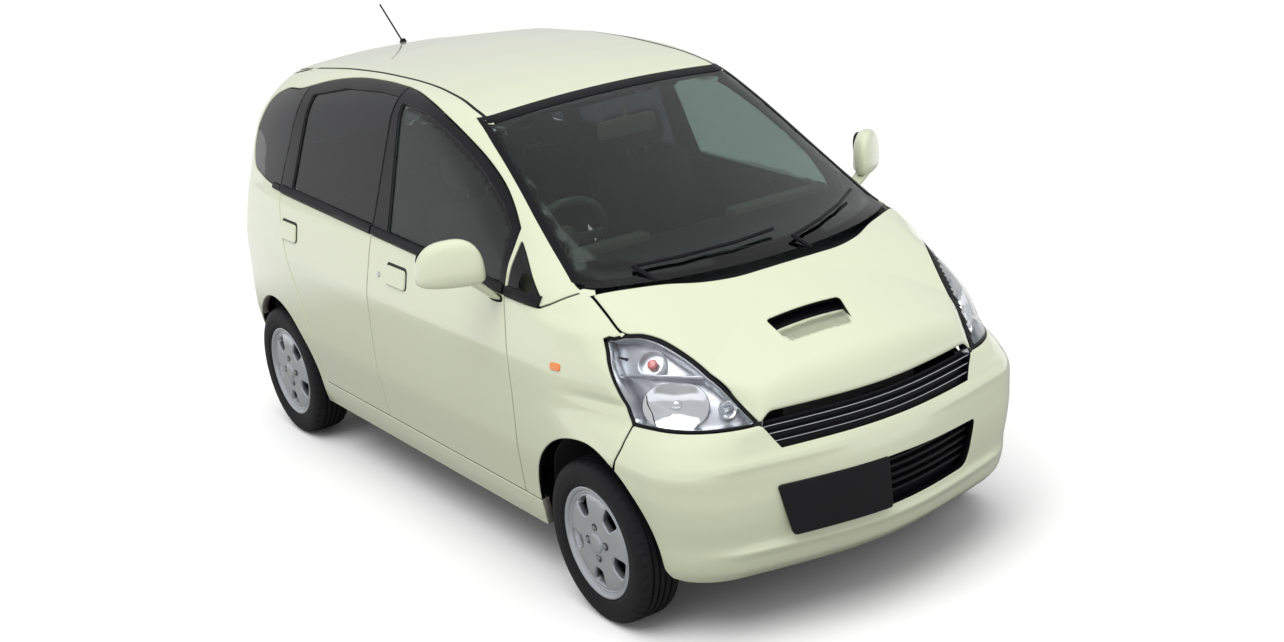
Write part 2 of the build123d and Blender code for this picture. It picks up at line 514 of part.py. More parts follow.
# ---------------------------------------------------------------------------
# Wheels and knuckles
# ---------------------------------------------------------------------------
TYRE_SECTION = [(165, 60), (184, 64), (190, 72), (215, TYRE_WIDTH / 2), (243, 76), (259, 66), (TYRE_R, 48)]
RIM_HOLES = 5
LUGS = 4
HUB_BORE_R = 15.3
SPINDLE_R = 15.0


def turned(points, axis_x, axis_y):
    """Section (radius, width) turned about a wheel's axle."""
    spots = [(axis_y + w, AXLE_Z + r) for r, w in points]
    face = Plane.YZ.offset(axis_x) * make_face(Polyline(*spots, close=True))
    return revolve(face, Axis((axis_x, 0, AXLE_Z), (0, 1, 0)), 360)


def tyre(axis_x):
    section = TYRE_SECTION + [(r, -w) for r, w in reversed(TYRE_SECTION)]
    return turned(section, axis_x, WHEEL_Y)


def rim(axis_x):
    barrel = [(157, -69), (157, 64), (176, 68), (RIM_FLANGE_R, 68),
              (RIM_FLANGE_R, 64.5), (165, 60.5), (165, -60.5), (RIM_FLANGE_R, -64.5), (RIM_FLANGE_R, -69)]
    disc = [(HUB_BORE_R, -45), (115, -45), (115, -35), (60, -35), (60, 34), (100, 50), (161, 44), (161, 57),
            (112, 66), (62, 66), (34, 67), (30, 72), (0, 72), (0, 48), (HUB_BORE_R, 48)]
    holes = []
    for turn in range(RIM_HOLES):
        angle = radians(72 * turn - 23)
        middle = (axis_x + 120 * cos(angle), WHEEL_Y + 20, AXLE_Z + 120 * sin(angle))
        spot = Plane(origin=middle, x_dir=(cos(angle), 0, sin(angle)), z_dir=(0, 1, 0))
        holes.append(extrude(spot * RectangleRounded(60, 82, 28), 60))
    nuts = []
    for turn in range(LUGS):
        angle = radians(90 * turn + 4)
        x, z = axis_x + 48 * cos(angle), AXLE_Z + 48 * sin(angle)
        nuts.append(rod((x, WHEEL_Y + 55, z), (x, WHEEL_Y + 72, z), 9))
    return biggest(turned(disc, axis_x, WHEEL_Y) - holes + nuts + turned(barrel, axis_x, WHEEL_Y))


for place, axis_x in (("front", FRONT_AXLE_X), ("rear", REAR_AXLE_X)):
    wheel_tyre = tyre(axis_x)
    wheel_rim = rim(axis_x)
    export_step(wheel_tyre, f"parts/tyre_{place}_left.step")
    export_step(mirrored(wheel_tyre), f"parts/tyre_{place}_right.step")
    export_step(wheel_rim, f"parts/rim_{place}_left.step")
    export_step(mirrored(wheel_rim), f"parts/rim_{place}_right.step")

strut_foot = Vector(*KINGPIN_LOW) + strut_axis * 250 + Vector(0, -22, 0)
knuckle = block((1050, 1135), (558, 588), (195, 345)) + cylinder_y(FRONT_AXLE_X, AXLE_Z, 36, 545, 590)
knuckle = knuckle + cylinder_y(FRONT_AXLE_X, AXLE_Z, SPINDLE_R, 580, WHEEL_Y + 42)
knuckle = knuckle + rod(KINGPIN_LOW, tuple(Vector(*KINGPIN_LOW) + strut_axis * 60), 20)
knuckle = knuckle + block((1070, 1115), (510, 588), (320, 350))
knuckle = knuckle + rod(tuple(strut_foot + Vector(0, -6, -110)), tuple(strut_foot + strut_axis * 200), 24)
knuckle = knuckle + rod(tuple(strut_foot + strut_axis * 190), tuple(Vector(*KINGPIN_TOP)), 14)
knuckle = knuckle + rod(tuple(strut_foot + strut_axis * 200), tuple(strut_foot + strut_axis * 212), 62)
knuckle = knuckle + rod(tuple(strut_foot + strut_axis * 212), tuple(Vector(*KINGPIN_TOP) - strut_axis * 4), 48)
knuckle = biggest(knuckle)

PARTS = {
    "bonnet": biggest(bonnet), "front_fenders": pair(biggest(fender)), "headlamps": pair(biggest(lamp)),
    "front_bumper": biggest(front_bumper), "grille": biggest(grille), "intake_grille": biggest(intake),
    "roof_panel": biggest(roof_panel), "windscreen": biggest(windscreen_glass), "body_sides": body_sides,
    "side_glass": Compound(children=[*side_glass.solids(), *mirrored(side_glass).solids()]),
    "tailgate": tailgate, "tailgate_glass": tailgate_glass, "tail_lamps": pair(tail_lamp),
    "rear_bumper": rear_bumper, "wipers": Compound(children=wipers), "aerial": aerial,
    "floor_pan": floor_pan, "bulkhead": bulkhead, "front_frame": front_frame, "engine": engine,
    "rear_axle": rear_axle, "fuel_tank": fuel_tank, "exhaust": biggest(exhaust), "dashboard": dashboard,
    "steering_wheel": steering_wheel, "front_seats": front_seats, "rear_seat": biggest(rear_seat),
    "room_mirror": room_mirror, "mirror_left": biggest(mirror_left),
    "mirror_right": mirrored(biggest(mirror_left)), "knuckle_left": knuckle, "knuckle_right": mirrored(knuckle),
}
for name, shape in PARTS.items():
    export_step(shape, f"parts/{name}.step")
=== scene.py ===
import bpy
import math
import numpy as np
from mathutils import Vector, Matrix
from mathutils.geometry import delaunay_2d_cdt


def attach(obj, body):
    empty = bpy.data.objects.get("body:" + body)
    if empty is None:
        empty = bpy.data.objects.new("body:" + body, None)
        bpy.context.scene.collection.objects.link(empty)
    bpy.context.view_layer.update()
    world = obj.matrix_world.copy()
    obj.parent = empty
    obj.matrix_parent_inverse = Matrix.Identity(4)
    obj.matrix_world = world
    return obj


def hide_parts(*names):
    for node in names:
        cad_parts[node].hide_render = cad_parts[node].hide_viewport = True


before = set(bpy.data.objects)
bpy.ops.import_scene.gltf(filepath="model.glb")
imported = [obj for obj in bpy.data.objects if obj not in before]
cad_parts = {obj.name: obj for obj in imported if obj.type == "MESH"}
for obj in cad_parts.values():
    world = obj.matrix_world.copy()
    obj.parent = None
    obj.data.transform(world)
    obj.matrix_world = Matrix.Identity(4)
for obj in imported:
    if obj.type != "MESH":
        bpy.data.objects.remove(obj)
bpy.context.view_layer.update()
print("frame loaded", flush=True)

# materials


class Val:
    # a shader value: arithmetic on it adds Math nodes
    def __init__(self, tree, socket):
        self.tree, self.socket = tree, socket

    def maths(self, kind, *others):
        node = self.tree.nodes.new("ShaderNodeMath")
        node.operation = kind
        for i, v in enumerate(others):
            if isinstance(v, Val):
                self.tree.links.new(v.socket, node.inputs[i])
            else:
                node.inputs[i].default_value = v
        return Val(self.tree, node.outputs[0])

    def __add__(self, o): return self.maths("ADD", self, o)
    def __radd__(self, o): return self.maths("ADD", o, self)
    def __sub__(self, o): return self.maths("SUBTRACT", self, o)
    def __rsub__(self, o): return self.maths("SUBTRACT", o, self)
    def __mul__(self, o): return self.maths("MULTIPLY", self, o)
    def __rmul__(self, o): return self.maths("MULTIPLY", o, self)


class Mat:
    # a Principled material; its settings are socket names
    def __init__(self, name, **sockets):
        self.mat = bpy.data.materials.new(name)
        self.mat.use_nodes = True
        self.tree = self.mat.node_tree
        self.bsdf = self.tree.nodes["Principled BSDF"]
        for key, value in sockets.items():
            key = key.replace("_", " ")
            if isinstance(value, tuple) and len(value) == 3:
                value = (*value, 1)
            self.bsdf.inputs[key].default_value = value

    def node(self, kind, inputs=None, **settings):
        n = self.tree.nodes.new(kind)
        for key, value in settings.items():
            setattr(n, key, value)
        for key, value in (inputs or {}).items():
            if isinstance(value, Val):
                self.tree.links.new(value.socket, n.inputs[key])
            elif isinstance(value, bpy.types.NodeSocket):
                self.tree.links.new(value, n.inputs[key])
            else:
                n.inputs[key].default_value = value
        return n

    def place(self):
        return self.node("ShaderNodeTexCoord").outputs["Object"]

    def link(self, output, name):
        self.tree.links.new(output, self.bsdf.inputs[name])

    def noise(self, scale, detail=2.0):
        n = self.node("ShaderNodeTexNoise", {"Vector": self.place(), "Scale": scale, "Detail": detail})
        return Val(self.tree, n.outputs["Fac"])

    def vary(self, amount, scale, socket="Roughness"):
        base = self.bsdf.inputs[socket].default_value
        self.link((base + (self.noise(scale) - 0.5) * amount).socket, socket)
        return self

    def bump(self, height, strength, distance):
        b = self.node("ShaderNodeBump", {"Height": height, "Strength": strength, "Distance": distance})
        self.link(b.outputs["Normal"], "Normal")
        return self


paintLook = {"colour": (0.64, 0.68, 0.50), "roughness": 0.32, "metallic": 0.0}
paint = Mat("body paint", Base_Color=paintLook["colour"], Roughness=paintLook["roughness"],
            Metallic=paintLook["metallic"], Coat_Weight=1.0, Coat_Roughness=0.03).vary(0.04, 60)
trimBlack = Mat("black trim", Base_Color=(0.006, 0.006, 0.008), Roughness=0.46, Specular_IOR_Level=0.22)
trimBlack.vary(0.10, 90)
sashBlack = Mat("black sash", Base_Color=(0.004, 0.004, 0.006), Roughness=0.30, Specular_IOR_Level=0.25)
rubberSeal = Mat("rubber seal", Base_Color=(0.006, 0.006, 0.008), Roughness=0.5, Specular_IOR_Level=0.2)
rubberSeal.vary(0.1, 150)
glassClear = Mat("tinted glass", Base_Color=(0.34, 0.42, 0.39), Roughness=0.0, IOR=1.45,
                 Transmission_Weight=1.0)
glassDark = Mat("privacy glass", Base_Color=(0.05, 0.055, 0.07), Roughness=0.02, IOR=1.45,
                Transmission_Weight=1.0)
lensClear = Mat("clear lens", Base_Color=(0.95, 0.96, 0.97), Roughness=0.0, IOR=1.3, Transmission_Weight=1.0)
lensRed = Mat("red lens", Base_Color=(0.45, 0.008, 0.012), Roughness=0.08, Coat_Weight=1.0)
chrome = Mat("reflector chrome", Base_Color=(0.80, 0.82, 0.85), Roughness=0.10, Metallic=1.0)
silverTrim = Mat("lamp silver", Base_Color=(0.58, 0.60, 0.64), Roughness=0.30, Metallic=0.75)
alloy = Mat("alloy paint", Base_Color=(0.50, 0.52, 0.56), Roughness=0.30, Metallic=0.75, Coat_Weight=0.6,
            Coat_Roughness=0.1).vary(0.06, 80)
darkMetal = Mat("underbody coating", Base_Color=(0.022, 0.022, 0.024), Roughness=0.6).vary(0.25, 25)
castMetal = Mat("cast metal", Base_Color=(0.34, 0.34, 0.35), Roughness=0.45, Metallic=0.8).vary(0.2, 30)
plasticGrey = Mat("grey plastic", Base_Color=(0.23, 0.225, 0.20), Roughness=0.55)
cabinDark = Mat("cabin plastic", Base_Color=(0.030, 0.032, 0.032), Roughness=0.6).vary(0.15, 120)
headliner = Mat("headliner", Base_Color=(0.30, 0.29, 0.26), Roughness=0.9)
bulbPink = Mat("bulb", Base_Color=(0.75, 0.18, 0.16), Roughness=0.2, Coat_Weight=0.6)
amber = Mat("amber lens", Base_Color=(0.85, 0.22, 0.02), Roughness=0.1, Coat_Weight=1.0)
lensWhite = Mat("white lens", Base_Color=(0.72, 0.72, 0.70), Roughness=0.12, Coat_Weight=1.0)
mirrorGlass = Mat("mirror glass", Base_Color=(0.75, 0.77, 0.80), Roughness=0.02, Metallic=1.0)
tyreRubber = Mat("tyre rubber", Base_Color=(0.007, 0.007, 0.009), Roughness=0.62, Specular_IOR_Level=0.3)
tyreRubber.vary(0.16, 40)
cloth = Mat("seat cloth", Base_Color=(0.075, 0.055, 0.045), Roughness=0.92)
weave = cloth.node("ShaderNodeTexVoronoi", {"Vector": cloth.place(), "Scale": 700.0})
cloth.bump(weave.outputs["Distance"], 0.25, 0.0008)

# the body's surface, in millimetres


def smoothTable(rows):
    # monotone cubic through (key, value) rows, straight beyond its ends
    xs, ys = (np.array(c, float) for c in zip(*rows))
    h = np.diff(xs)
    d = np.diff(ys) / h
    m = np.concatenate([[d[0]], np.zeros(len(h) - 1), [d[-1]]])
    for i in range(1, len(h)):
        if d[i - 1] * d[i] > 0:
            w1, w2 = 2 * h[i] + h[i - 1], h[i] + 2 * h[i - 1]
            m[i] = (w1 + w2) / (w1 / d[i - 1] + w2 / d[i])

    def look(x):
        i = np.clip(np.searchsorted(xs, x) - 1, 0, len(xs) - 2)
        t = (x - xs[i]) / h[i]
        c = np.clip(t, 0, 1)
        y = ys[i] * (1 + 2 * c) * (1 - c) ** 2 + ys[i + 1] * c * c * (3 - 2 * c)
        y = y + h[i] * (m[i] * c * (1 - c) ** 2 - m[i + 1] * c * c * (1 - c))
        return y + np.where(t < 0, t * h[i] * m[0], np.where(t > 1, (t - 1) * h[i] * m[-1], 0))
    return look


halfWidth = smoothTable([(150, 676), (205, 690), (262, 704), (343, 715), (420, 726), (478, 734), (500, 736),
                         (600, 737.5), (740, 737.5), (785, 736.5), (830, 731), (900, 717), (1000, 695),
                         (1030, 685), (1130, 654), (1250, 619), (1370, 583), (1475, 551), (1600, 513)])
frontSlope = smoothTable([(205, .11), (560, .11), (640, .17), (700, .245), (800, .265), (923, .26),
                          (1000, .23), (1060, .2), (1560, .2)])
frontStart = smoothTable([(205, 1010), (560, 1010), (700, 940), (800, 940), (923, 930), (985, 800),
                          (1030, 745), (1130, 536), (1274, 330), (1451, 20), (1560, -150)])
noseLine = smoothTable([(150, 1560), (205, 1602), (250, 1648), (300, 1668), (343, 1674), (420, 1690),
                        (490, 1697), (540, 1696), (600, 1688), (628, 1678), (665, 1667), (700, 1661),
                        (800, 1640), (1000, 1600)])
noseBend = smoothTable([(205, .29), (343, .33), (490, .33), (600, .30), (700, .285), (900, .285)])
lampReach = smoothTable([(560, 1500), (600, 1457), (640, 1424), (670, 1394), (690, 1369), (700, 1361),
                         (800, 1316.7), (925, 1229.6), (1000, 1170)])
lampMiddle = smoothTable([(600, -830), (700, -811), (800, -731), (925, -598), (1000, -500)])
lampHalf = smoothTable([(600, 210), (700, 193), (800, 172), (925, 100), (1000, 70)])
screenBend = smoothTable([(1029, 7.4e-4), (1081, 6.96e-4), (1147, 6.25e-4), (1210, 5.65e-4), (1274, 4.9e-4),
                          (1339, 3.97e-4), (1399, 3.4e-4), (1452, 3.2e-4)])
roofLine = smoothTable([(-1700, 1425), (-1442, 1473), (-1087, 1514), (-760, 1538), (-500, 1545), (-307, 1544),
                        (-107, 1536), (-7, 1528), (92, 1518), (192, 1501), (320, 1475), (420, 1450)])
tailLine = smoothTable([(150, -1630), (205, -1648), (343, -1684), (490, -1697), (600, -1694), (700, -1685),
                        (800, -1686), (940, -1688), (1030, -1687), (1101, -1682), (1254, -1643),
                        (1404, -1546), (1475, -1500), (1560, -1440)])
tailBend = smoothTable([(205, 1.1e-4), (490, 8.4e-5), (900, 1.1e-4), (1030, 1.4e-4), (1250, 1.4e-4),
                        (1475, 2e-4)])
blendTop = smoothTable([(0, 85), (300, 60), (1000, 60), (1190, 42), (1300, 12), (1500, 14), (1620, 52)])


def softMax(a, b, k):
    # the larger of two, blended where they differ by less than k
    return np.maximum(a, b) + np.clip(k - np.abs(a - b), 0, None) ** 2 / (4 * k)


def roundMax(a, b, r):
    # the larger of two, with a fillet of radius r where they cross squarely
    return np.minimum(-r, np.maximum(a, b)) + np.hypot(np.clip(a + r, 0, None), np.clip(b + r, 0, None))


def step(x, low, high):
    t = np.clip((x - low) / (high - low), 0, 1)
    return t * t * (3 - 2 * t)


def bonnetZ(x, y):
    x = np.maximum(x, 900)
    line = 1030 - 0.55 * (x - 1245) - 0.000613 * (x - 1245) ** 2
    drop = 0.0045 * np.clip(np.abs(y) - 510, 0, None) ** 2 * step(x, 1030, 1192)
    drop = drop + 13 * step(np.abs(y), 120, 400) * step(x, 1450, 1600)
    return -870 + np.sqrt((line + 870) ** 2 - np.minimum(np.abs(y), 900) ** 2) - drop


def sideY(x, z):
    start = x - frontStart(z)
    taper = frontSlope(z) * 0.5 * (start + np.sqrt(start ** 2 + 3600))
    valley = 7 * np.exp(-((z - 737 + 0.02 * (x - 1250)) / 16) ** 2) * step(x, 930, 1180)
    return halfWidth(z) - taper - 1.13e-4 * np.clip(-1000 - x, 0, None) ** 2 - valley


def bodyF(p):
    # below nought inside the car's body
    x, y, z = p[:, 0], np.abs(p[:, 1]), p[:, 2]
    lip = 11 * np.exp(-((z - 312) / 15) ** 2) * (1 - step(y, 430, 640))
    ridge = 5 * np.exp(-((z - 592) / 16) ** 2) * step(y, 60, 330) * (1 - step(y, 520, 660))
    nose = x - (noseLine(z) + lip + ridge - noseBend(z) * (np.sqrt(y * y + 62500) - 250))
    outer = roundMax(nose, y - sideY(x, z), 150.0)
    half = np.maximum(lampHalf(z), 40)
    run = np.clip(-0.79 * x + 0.612 * y - lampMiddle(z), -half, half)
    lamp = (0.612 * x + 0.79 * y - lampReach(z) + 1.664e-3 * run ** 2) * 0.92
    outer = softMax(outer, lamp, 16.0)
    outer = roundMax(outer, (tailLine(z) + tailBend(z) * y * y - x) * 0.95, 120.0)
    screen = (x - 1245 + 2.056 * (z - 1025) + screenBend(z) * y * y) / 2.28
    cabin = softMax(screen, z - roofLine(x) + 1.1e-4 * y * y, 20.0)
    top = np.minimum((z - bonnetZ(x, y)) * 0.8, cabin)
    return softMax(outer, top, blendTop(x))


def lift(o, d, reach):
    # where rays from inside leave the body, and the surface's normals there
    low, high = np.zeros(len(o)), np.full(len(o), float(reach))
    for _ in range(30):
        mid = (low + high) / 2
        inside = bodyF(o + d * mid[:, None]) < 0
        low, high = np.where(inside, mid, low), np.where(inside, high, mid)
    p = o + d * low[:, None]
    e = np.eye(3) * 2.0
    g = np.stack([bodyF(p + e[i]) - bodyF(p - e[i]) for i in range(3)], 1)
    return p, g / np.linalg.norm(g, axis=1, keepdims=True)


def columns(*cols):
    return np.stack(np.broadcast_arrays(*cols), 1).astype(float)


def planRays(a, b):
    return columns(a, b, 600.0 + 0 * a), columns(0 * a, 0, 1), 1200


def frontRays(a, b):
    return columns(0 * a, a, b), columns(1 + 0 * a, 0, 0), 1800


def rearRays(a, b):
    return columns(-1000 + 0 * a, a, b), columns(-1 + 0 * a, 0, 0), 900


def sideRays(a, b):
    return columns(a, 0 * a, b), columns(0 * a, -1, 0), 900


# the wrapped charts turn about upright lines near the ends, and about the roof's rail
noseCentre, tailCentre, wrapR = 1100.0, -1150.0, 600.0
railZ, railY, railR = 1300.0, 250.0, 300.0


def bumperRays(a, b):
    t = a / wrapR
    return columns(noseCentre + 0 * a, 0, b), columns(np.cos(t), np.sin(t), 0), 1500


def tailRays(a, b):
    t = a / wrapR
    return columns(tailCentre + 0 * a, 0, b), columns(-np.cos(t), np.sin(t), 0), 1500


def wrapRays(a, b):
    # side view of the right-hand side, wrapped round the ends and up over the roof's rail
    phi = (np.clip(a - noseCentre, 0, None) - np.clip(tailCentre - a, 0, None)) / wrapR
    beta = np.clip(b - railZ, 0, None) / railR
    x0 = np.clip(a, tailCentre, noseCentre)
    shift = np.where(b > railZ, railY, 0.0)
    o = columns(x0 + shift * np.sin(phi), -shift * np.cos(phi), np.minimum(b, railZ))
    return o, columns(np.sin(phi) * np.cos(beta), -np.cos(phi) * np.cos(beta), np.sin(beta)), 1500


def onBumper(p):
    return np.stack([np.arctan2(p[:, 1], p[:, 0] - noseCentre) * wrapR, p[:, 2]], 1)


def onTail(p):
    return np.stack([np.arctan2(p[:, 1], tailCentre - p[:, 0]) * wrapR, p[:, 2]], 1)


def onWrap(p):
    x0 = np.clip(p[:, 0], tailCentre, noseCentre)
    phi = np.arctan2(p[:, 0] - x0, -p[:, 1])
    reach = np.hypot(p[:, 0] - x0, p[:, 1])
    beta = np.arctan2(np.clip(p[:, 2] - railZ, 0, None), reach - railY)
    return np.stack([x0 + phi * wrapR, np.minimum(p[:, 2], railZ) + railR * beta], 1)


# charts: rays for a place on the chart, and the place of a space point
charts = {
    "plan": (planRays, lambda p: p[:, :2]),
    "front": (frontRays, lambda p: p[:, 1:]),
    "rear": (rearRays, lambda p: p[:, 1:]),
    "bumper": (bumperRays, onBumper),
    "tail": (tailRays, onTail),
    "side": (sideRays, lambda p: p[:, [0, 2]]),
    "wrap": (wrapRays, onWrap),
}


def onChart(chart, points):
    return charts[chart][1](np.asarray(points, float))


def surface(chart, uv):
    uv = np.asarray(uv, float)
    return lift(*charts[chart][0](uv[:, 0], uv[:, 1]))


def dense(line, gap=18.0, closed=False):
    # a polyline with points put in, so that none of its steps is longer than gap
    line = [tuple(q) for q in line]
    pairs = list(zip(line, line[1:] + line[:1])) if closed else list(zip(line, line[1:]))
    out = []
    for p, q in pairs:
        n = max(1, math.ceil(math.dist(p, q) / gap))
        out += [tuple(a + (b - a) * i / n for a, b in zip(p, q)) for i in range(n)]
    return out if closed else out + [line[-1]]


def curve(points, n=8):
    # smooth line through points
    p = np.array(points, float)
    t = np.concatenate([[0], np.cumsum(np.linalg.norm(np.diff(p, axis=0), axis=1))])
    m = np.gradient(p, t, axis=0)
    out = []
    for i in range(len(p) - 1):
        h = t[i + 1] - t[i]
        for k in range(n):
            c = k / n
            out.append(p[i] * (1 + 2 * c) * (1 - c) ** 2 + p[i + 1] * c * c * (3 - 2 * c)
                       + h * (m[i] * c * (1 - c) ** 2 - m[i + 1] * c * c * (1 - c)))
    return [tuple(q) for q in out] + [tuple(p[-1])]


def rounded(points, radius, n=5):
    # closed outline with its corners rounded
    out = []
    count = len(points)
    for i in range(count):
        a, b, c = (np.array(points[(i + k) % count][:2], float) for k in (-1, 0, 1))
        r = points[i][2] if len(points[i]) > 2 else radius
        u, v = a - b, c - b
        reach = min(r, np.linalg.norm(u) * 0.45, np.linalg.norm(v) * 0.45)
        p, q = b + u / np.linalg.norm(u) * reach, b + v / np.linalg.norm(v) * reach
        for k in range(n + 1):
            t = k / n
            out.append(tuple(p * (1 - t) ** 2 + b * 2 * t * (1 - t) + q * t * t))
    return out


def via(chart, line):
    # space points of a line drawn on a chart
    return surface(chart, dense(line))[0]


def outline(chart, *lines):
    # closed loop on a chart through lines of space points
    uv = np.concatenate([onChart(chart, l) for l in lines])
    keep = [uv[0]]
    for q in uv[1:]:
        if np.linalg.norm(q - keep[-1]) > 1.5:
            keep.append(q)
    if np.linalg.norm(keep[0] - keep[-1]) < 1.5:
        keep.pop()
    return np.array(keep)


def area(loop):
    x, y = loop[:, 0], loop[:, 1]
    return 0.5 * np.sum(x * np.roll(y, -1) - y * np.roll(x, -1))


def leftward(loop):
    # the loop run with its inside on the left
    loop = np.array(loop)
    return loop if area(loop) > 0 else loop[::-1]


def inset(loop, d):
    # the loop moved to its left by d
    e1 = loop - np.roll(loop, 1, 0)
    e2 = np.roll(loop, -1, 0) - loop
    e1 /= np.linalg.norm(e1, axis=1, keepdims=True) + 1e-9
    e2 /= np.linalg.norm(e2, axis=1, keepdims=True) + 1e-9
    n1, n2 = np.stack([-e1[:, 1], e1[:, 0]], 1), np.stack([-e2[:, 1], e2[:, 0]], 1)
    return loop + d * (n1 + n2) / np.clip(1 + np.sum(n1 * n2, 1), 0.35, None)[:, None]


def within(points, loop):
    # which points are inside a loop
    inside = np.zeros(len(points), bool)
    for (x1, y1), (x2, y2) in zip(loop, np.roll(loop, -1, 0)):
        if y1 == y2:
            continue
        hit = (y1 > points[:, 1]) != (y2 > points[:, 1])
        inside ^= hit & (points[:, 0] < (x2 - x1) * (points[:, 1] - y1) / (y2 - y1) + x1)
    return inside


def farFrom(points, loop, gap):
    keep = np.ones(len(points), bool)
    for a, b in zip(loop, np.roll(loop, -1, 0)):
        v = b - a
        t = np.clip(((points - a) @ v) / (v @ v + 1e-9), 0, 1)
        keep &= np.linalg.norm(points - a - t[:, None] * v, axis=1) > gap
    return keep


def fill(loops, size):
    # triangles between loops: the first goes round the others, which are holes
    low, high = loops[0].min(0), loops[0].max(0)
    gx, gy = np.meshgrid(np.arange(low[0], high[0], size), np.arange(low[1], high[1], size * 0.87))
    gx = gx + (np.arange(gx.shape[0]) % 2)[:, None] * size / 2
    grid = np.stack([gx.ravel(), gy.ravel()], 1)
    grid = grid[within(grid, loops[0])]
    for hole in loops[1:]:
        grid = grid[~within(grid, hole)]
    for loop in loops:
        grid = grid[farFrom(grid, loop, size * 0.55)]
    points = np.concatenate([*loops, grid])
    edges, at = [], 0
    for loop in loops:
        edges += [(at + i, at + (i + 1) % len(loop)) for i in range(len(loop))]
        at += len(loop)
    _, _, faces, origin, _, _ = delaunay_2d_cdt([Vector(p) for p in points], edges, [], 0, 1e-5)
    index = np.array([o[0] if o else -1 for o in origin])
    tris = np.array([[index[i] for i in f] for f in faces if len(f) == 3])
    tris = tris[(tris >= 0).all(1)]
    middle = points[tris].mean(1)
    keep = within(middle, loops[0])
    for hole in loops[1:]:
        keep &= ~within(middle, hole)
    return points, tris[keep]


def makeMesh(name, points, faces, mats, indices=None, normals=None):
    # mesh object at the origin; points in millimetres, normals only where known
    me = bpy.data.meshes.new(name)
    me.from_pydata([tuple(q) for q in np.asarray(points) / 1000], [], [tuple(map(int, f)) for f in faces])
    for m in mats:
        me.materials.append(m.mat)
    me.polygons.foreach_set("use_smooth", [True] * len(me.polygons))
    if indices is not None:
        me.polygons.foreach_set("material_index", [int(i) for i in indices])
    me.validate()
    me.update()
    use = np.zeros(0) if normals is None else np.linalg.norm(normals, axis=1) > 0.5
    if not use.any():
        me.set_sharp_from_angle(angle=0.7)
    else:
        known = np.array([v.vector[:] for v in me.vertex_normals])
        known[use] = normals[use]
        me.normals_split_custom_set_from_vertices([tuple(v) for v in known])
    ob = bpy.data.objects.new(name, me)
    bpy.context.scene.collection.objects.link(ob)
    return ob


def panelData(chart, outer, holes=(), thick=3.0, deep=0.0, roll=3.0, size=16.0, gap=2.5, shape=None):
    # points, faces, face kinds and normals of a panel: skin, rolled edge, wall and inner face
    loops = [np.array(dense(outer, size * 0.7, True))] + [np.array(dense(h, size * 0.7, True)) for h in holes]
    loops = [l if (area(l) > 0) == (i == 0) else l[::-1] for i, l in enumerate(loops)]
    if gap:
        loops = [inset(l, gap) for l in loops]
    make = shape or (lambda uv: surface(chart, uv))
    flat = [inset(l, roll + 1.5) for l in loops]
    uv, tris = fill(flat, size)
    p, n = make(uv)
    across = np.cross(p[tris[:, 1]] - p[tris[:, 0]], p[tris[:, 2]] - p[tris[:, 0]])
    turn = 1 if np.sum(across * n[tris[:, 0]]) > 0 else -1
    tris = tris[:, ::turn]
    points, normals = [p - n * deep], [n]
    faces = [tris]
    kinds = [np.zeros(len(tris), int)]
    start = 0
    base = len(p)
    steps = [(roll, 0.0), (roll * 0.3, roll * 0.3), (0.0, roll), (0.0, thick)]
    innerStarts = []
    for loop, ring in zip(loops, flat):
        count = len(loop)
        previous = np.arange(start, start + count)
        start += count
        for off, down in steps:
            q, m = make(inset(loop, off))
            points.append(q - m * (deep + down))
            normals.append(m * (1.0 if down == 0 else 0.0))
            now = np.arange(base, base + count)
            base += count
            quad = np.stack([previous, now, np.roll(now, -1), np.roll(previous, -1)], 1)
            # the rings run with the panel on their left
            faces.append(quad if turn > 0 else quad[:, ::-1])
            kinds.append(np.full(count, 0 if down < thick else 1))
            previous = now
        innerStarts.append(previous)
    # inner face: the skin's triangles again, pushed in, its border sewn to the walls
    sewn = np.concatenate(innerStarts)
    idx = np.arange(len(uv)) + base
    idx[:len(sewn)] = sewn
    points.append(p - n * (deep + thick))
    normals.append(n * 0)
    faces.append(idx[tris[:, ::-1]])
    kinds.append(np.full(len(tris), 1))
    faces = [f for block in faces for f in block]
    return np.concatenate(points), faces, np.concatenate(kinds), np.concatenate(normals)


def flip(data):
    # mirror image, for the car's left
    p, f, k, n = data
    s = np.array([1, -1, 1])
    return p * s, [q[::-1] for q in f], k, n * s


def joined(*datas):
    at, faces = 0, []
    for p, f, _, _ in datas:
        faces += [np.asarray(q) + at for q in f]
        at += len(p)
    points, kinds, normals = (np.concatenate([d[i] for d in datas]) for i in (0, 2, 3))
    return points, faces, kinds, normals


def asIs(data):
    return data


sides = (("right", asIs), ("left", flip))


def piece(name, data, mats, body, stands=()):
    ob = makeMesh(name, data[0], data[1], mats, data[2], data[3])
    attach(ob, body)
    if stands:
        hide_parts(*stands)
    return ob


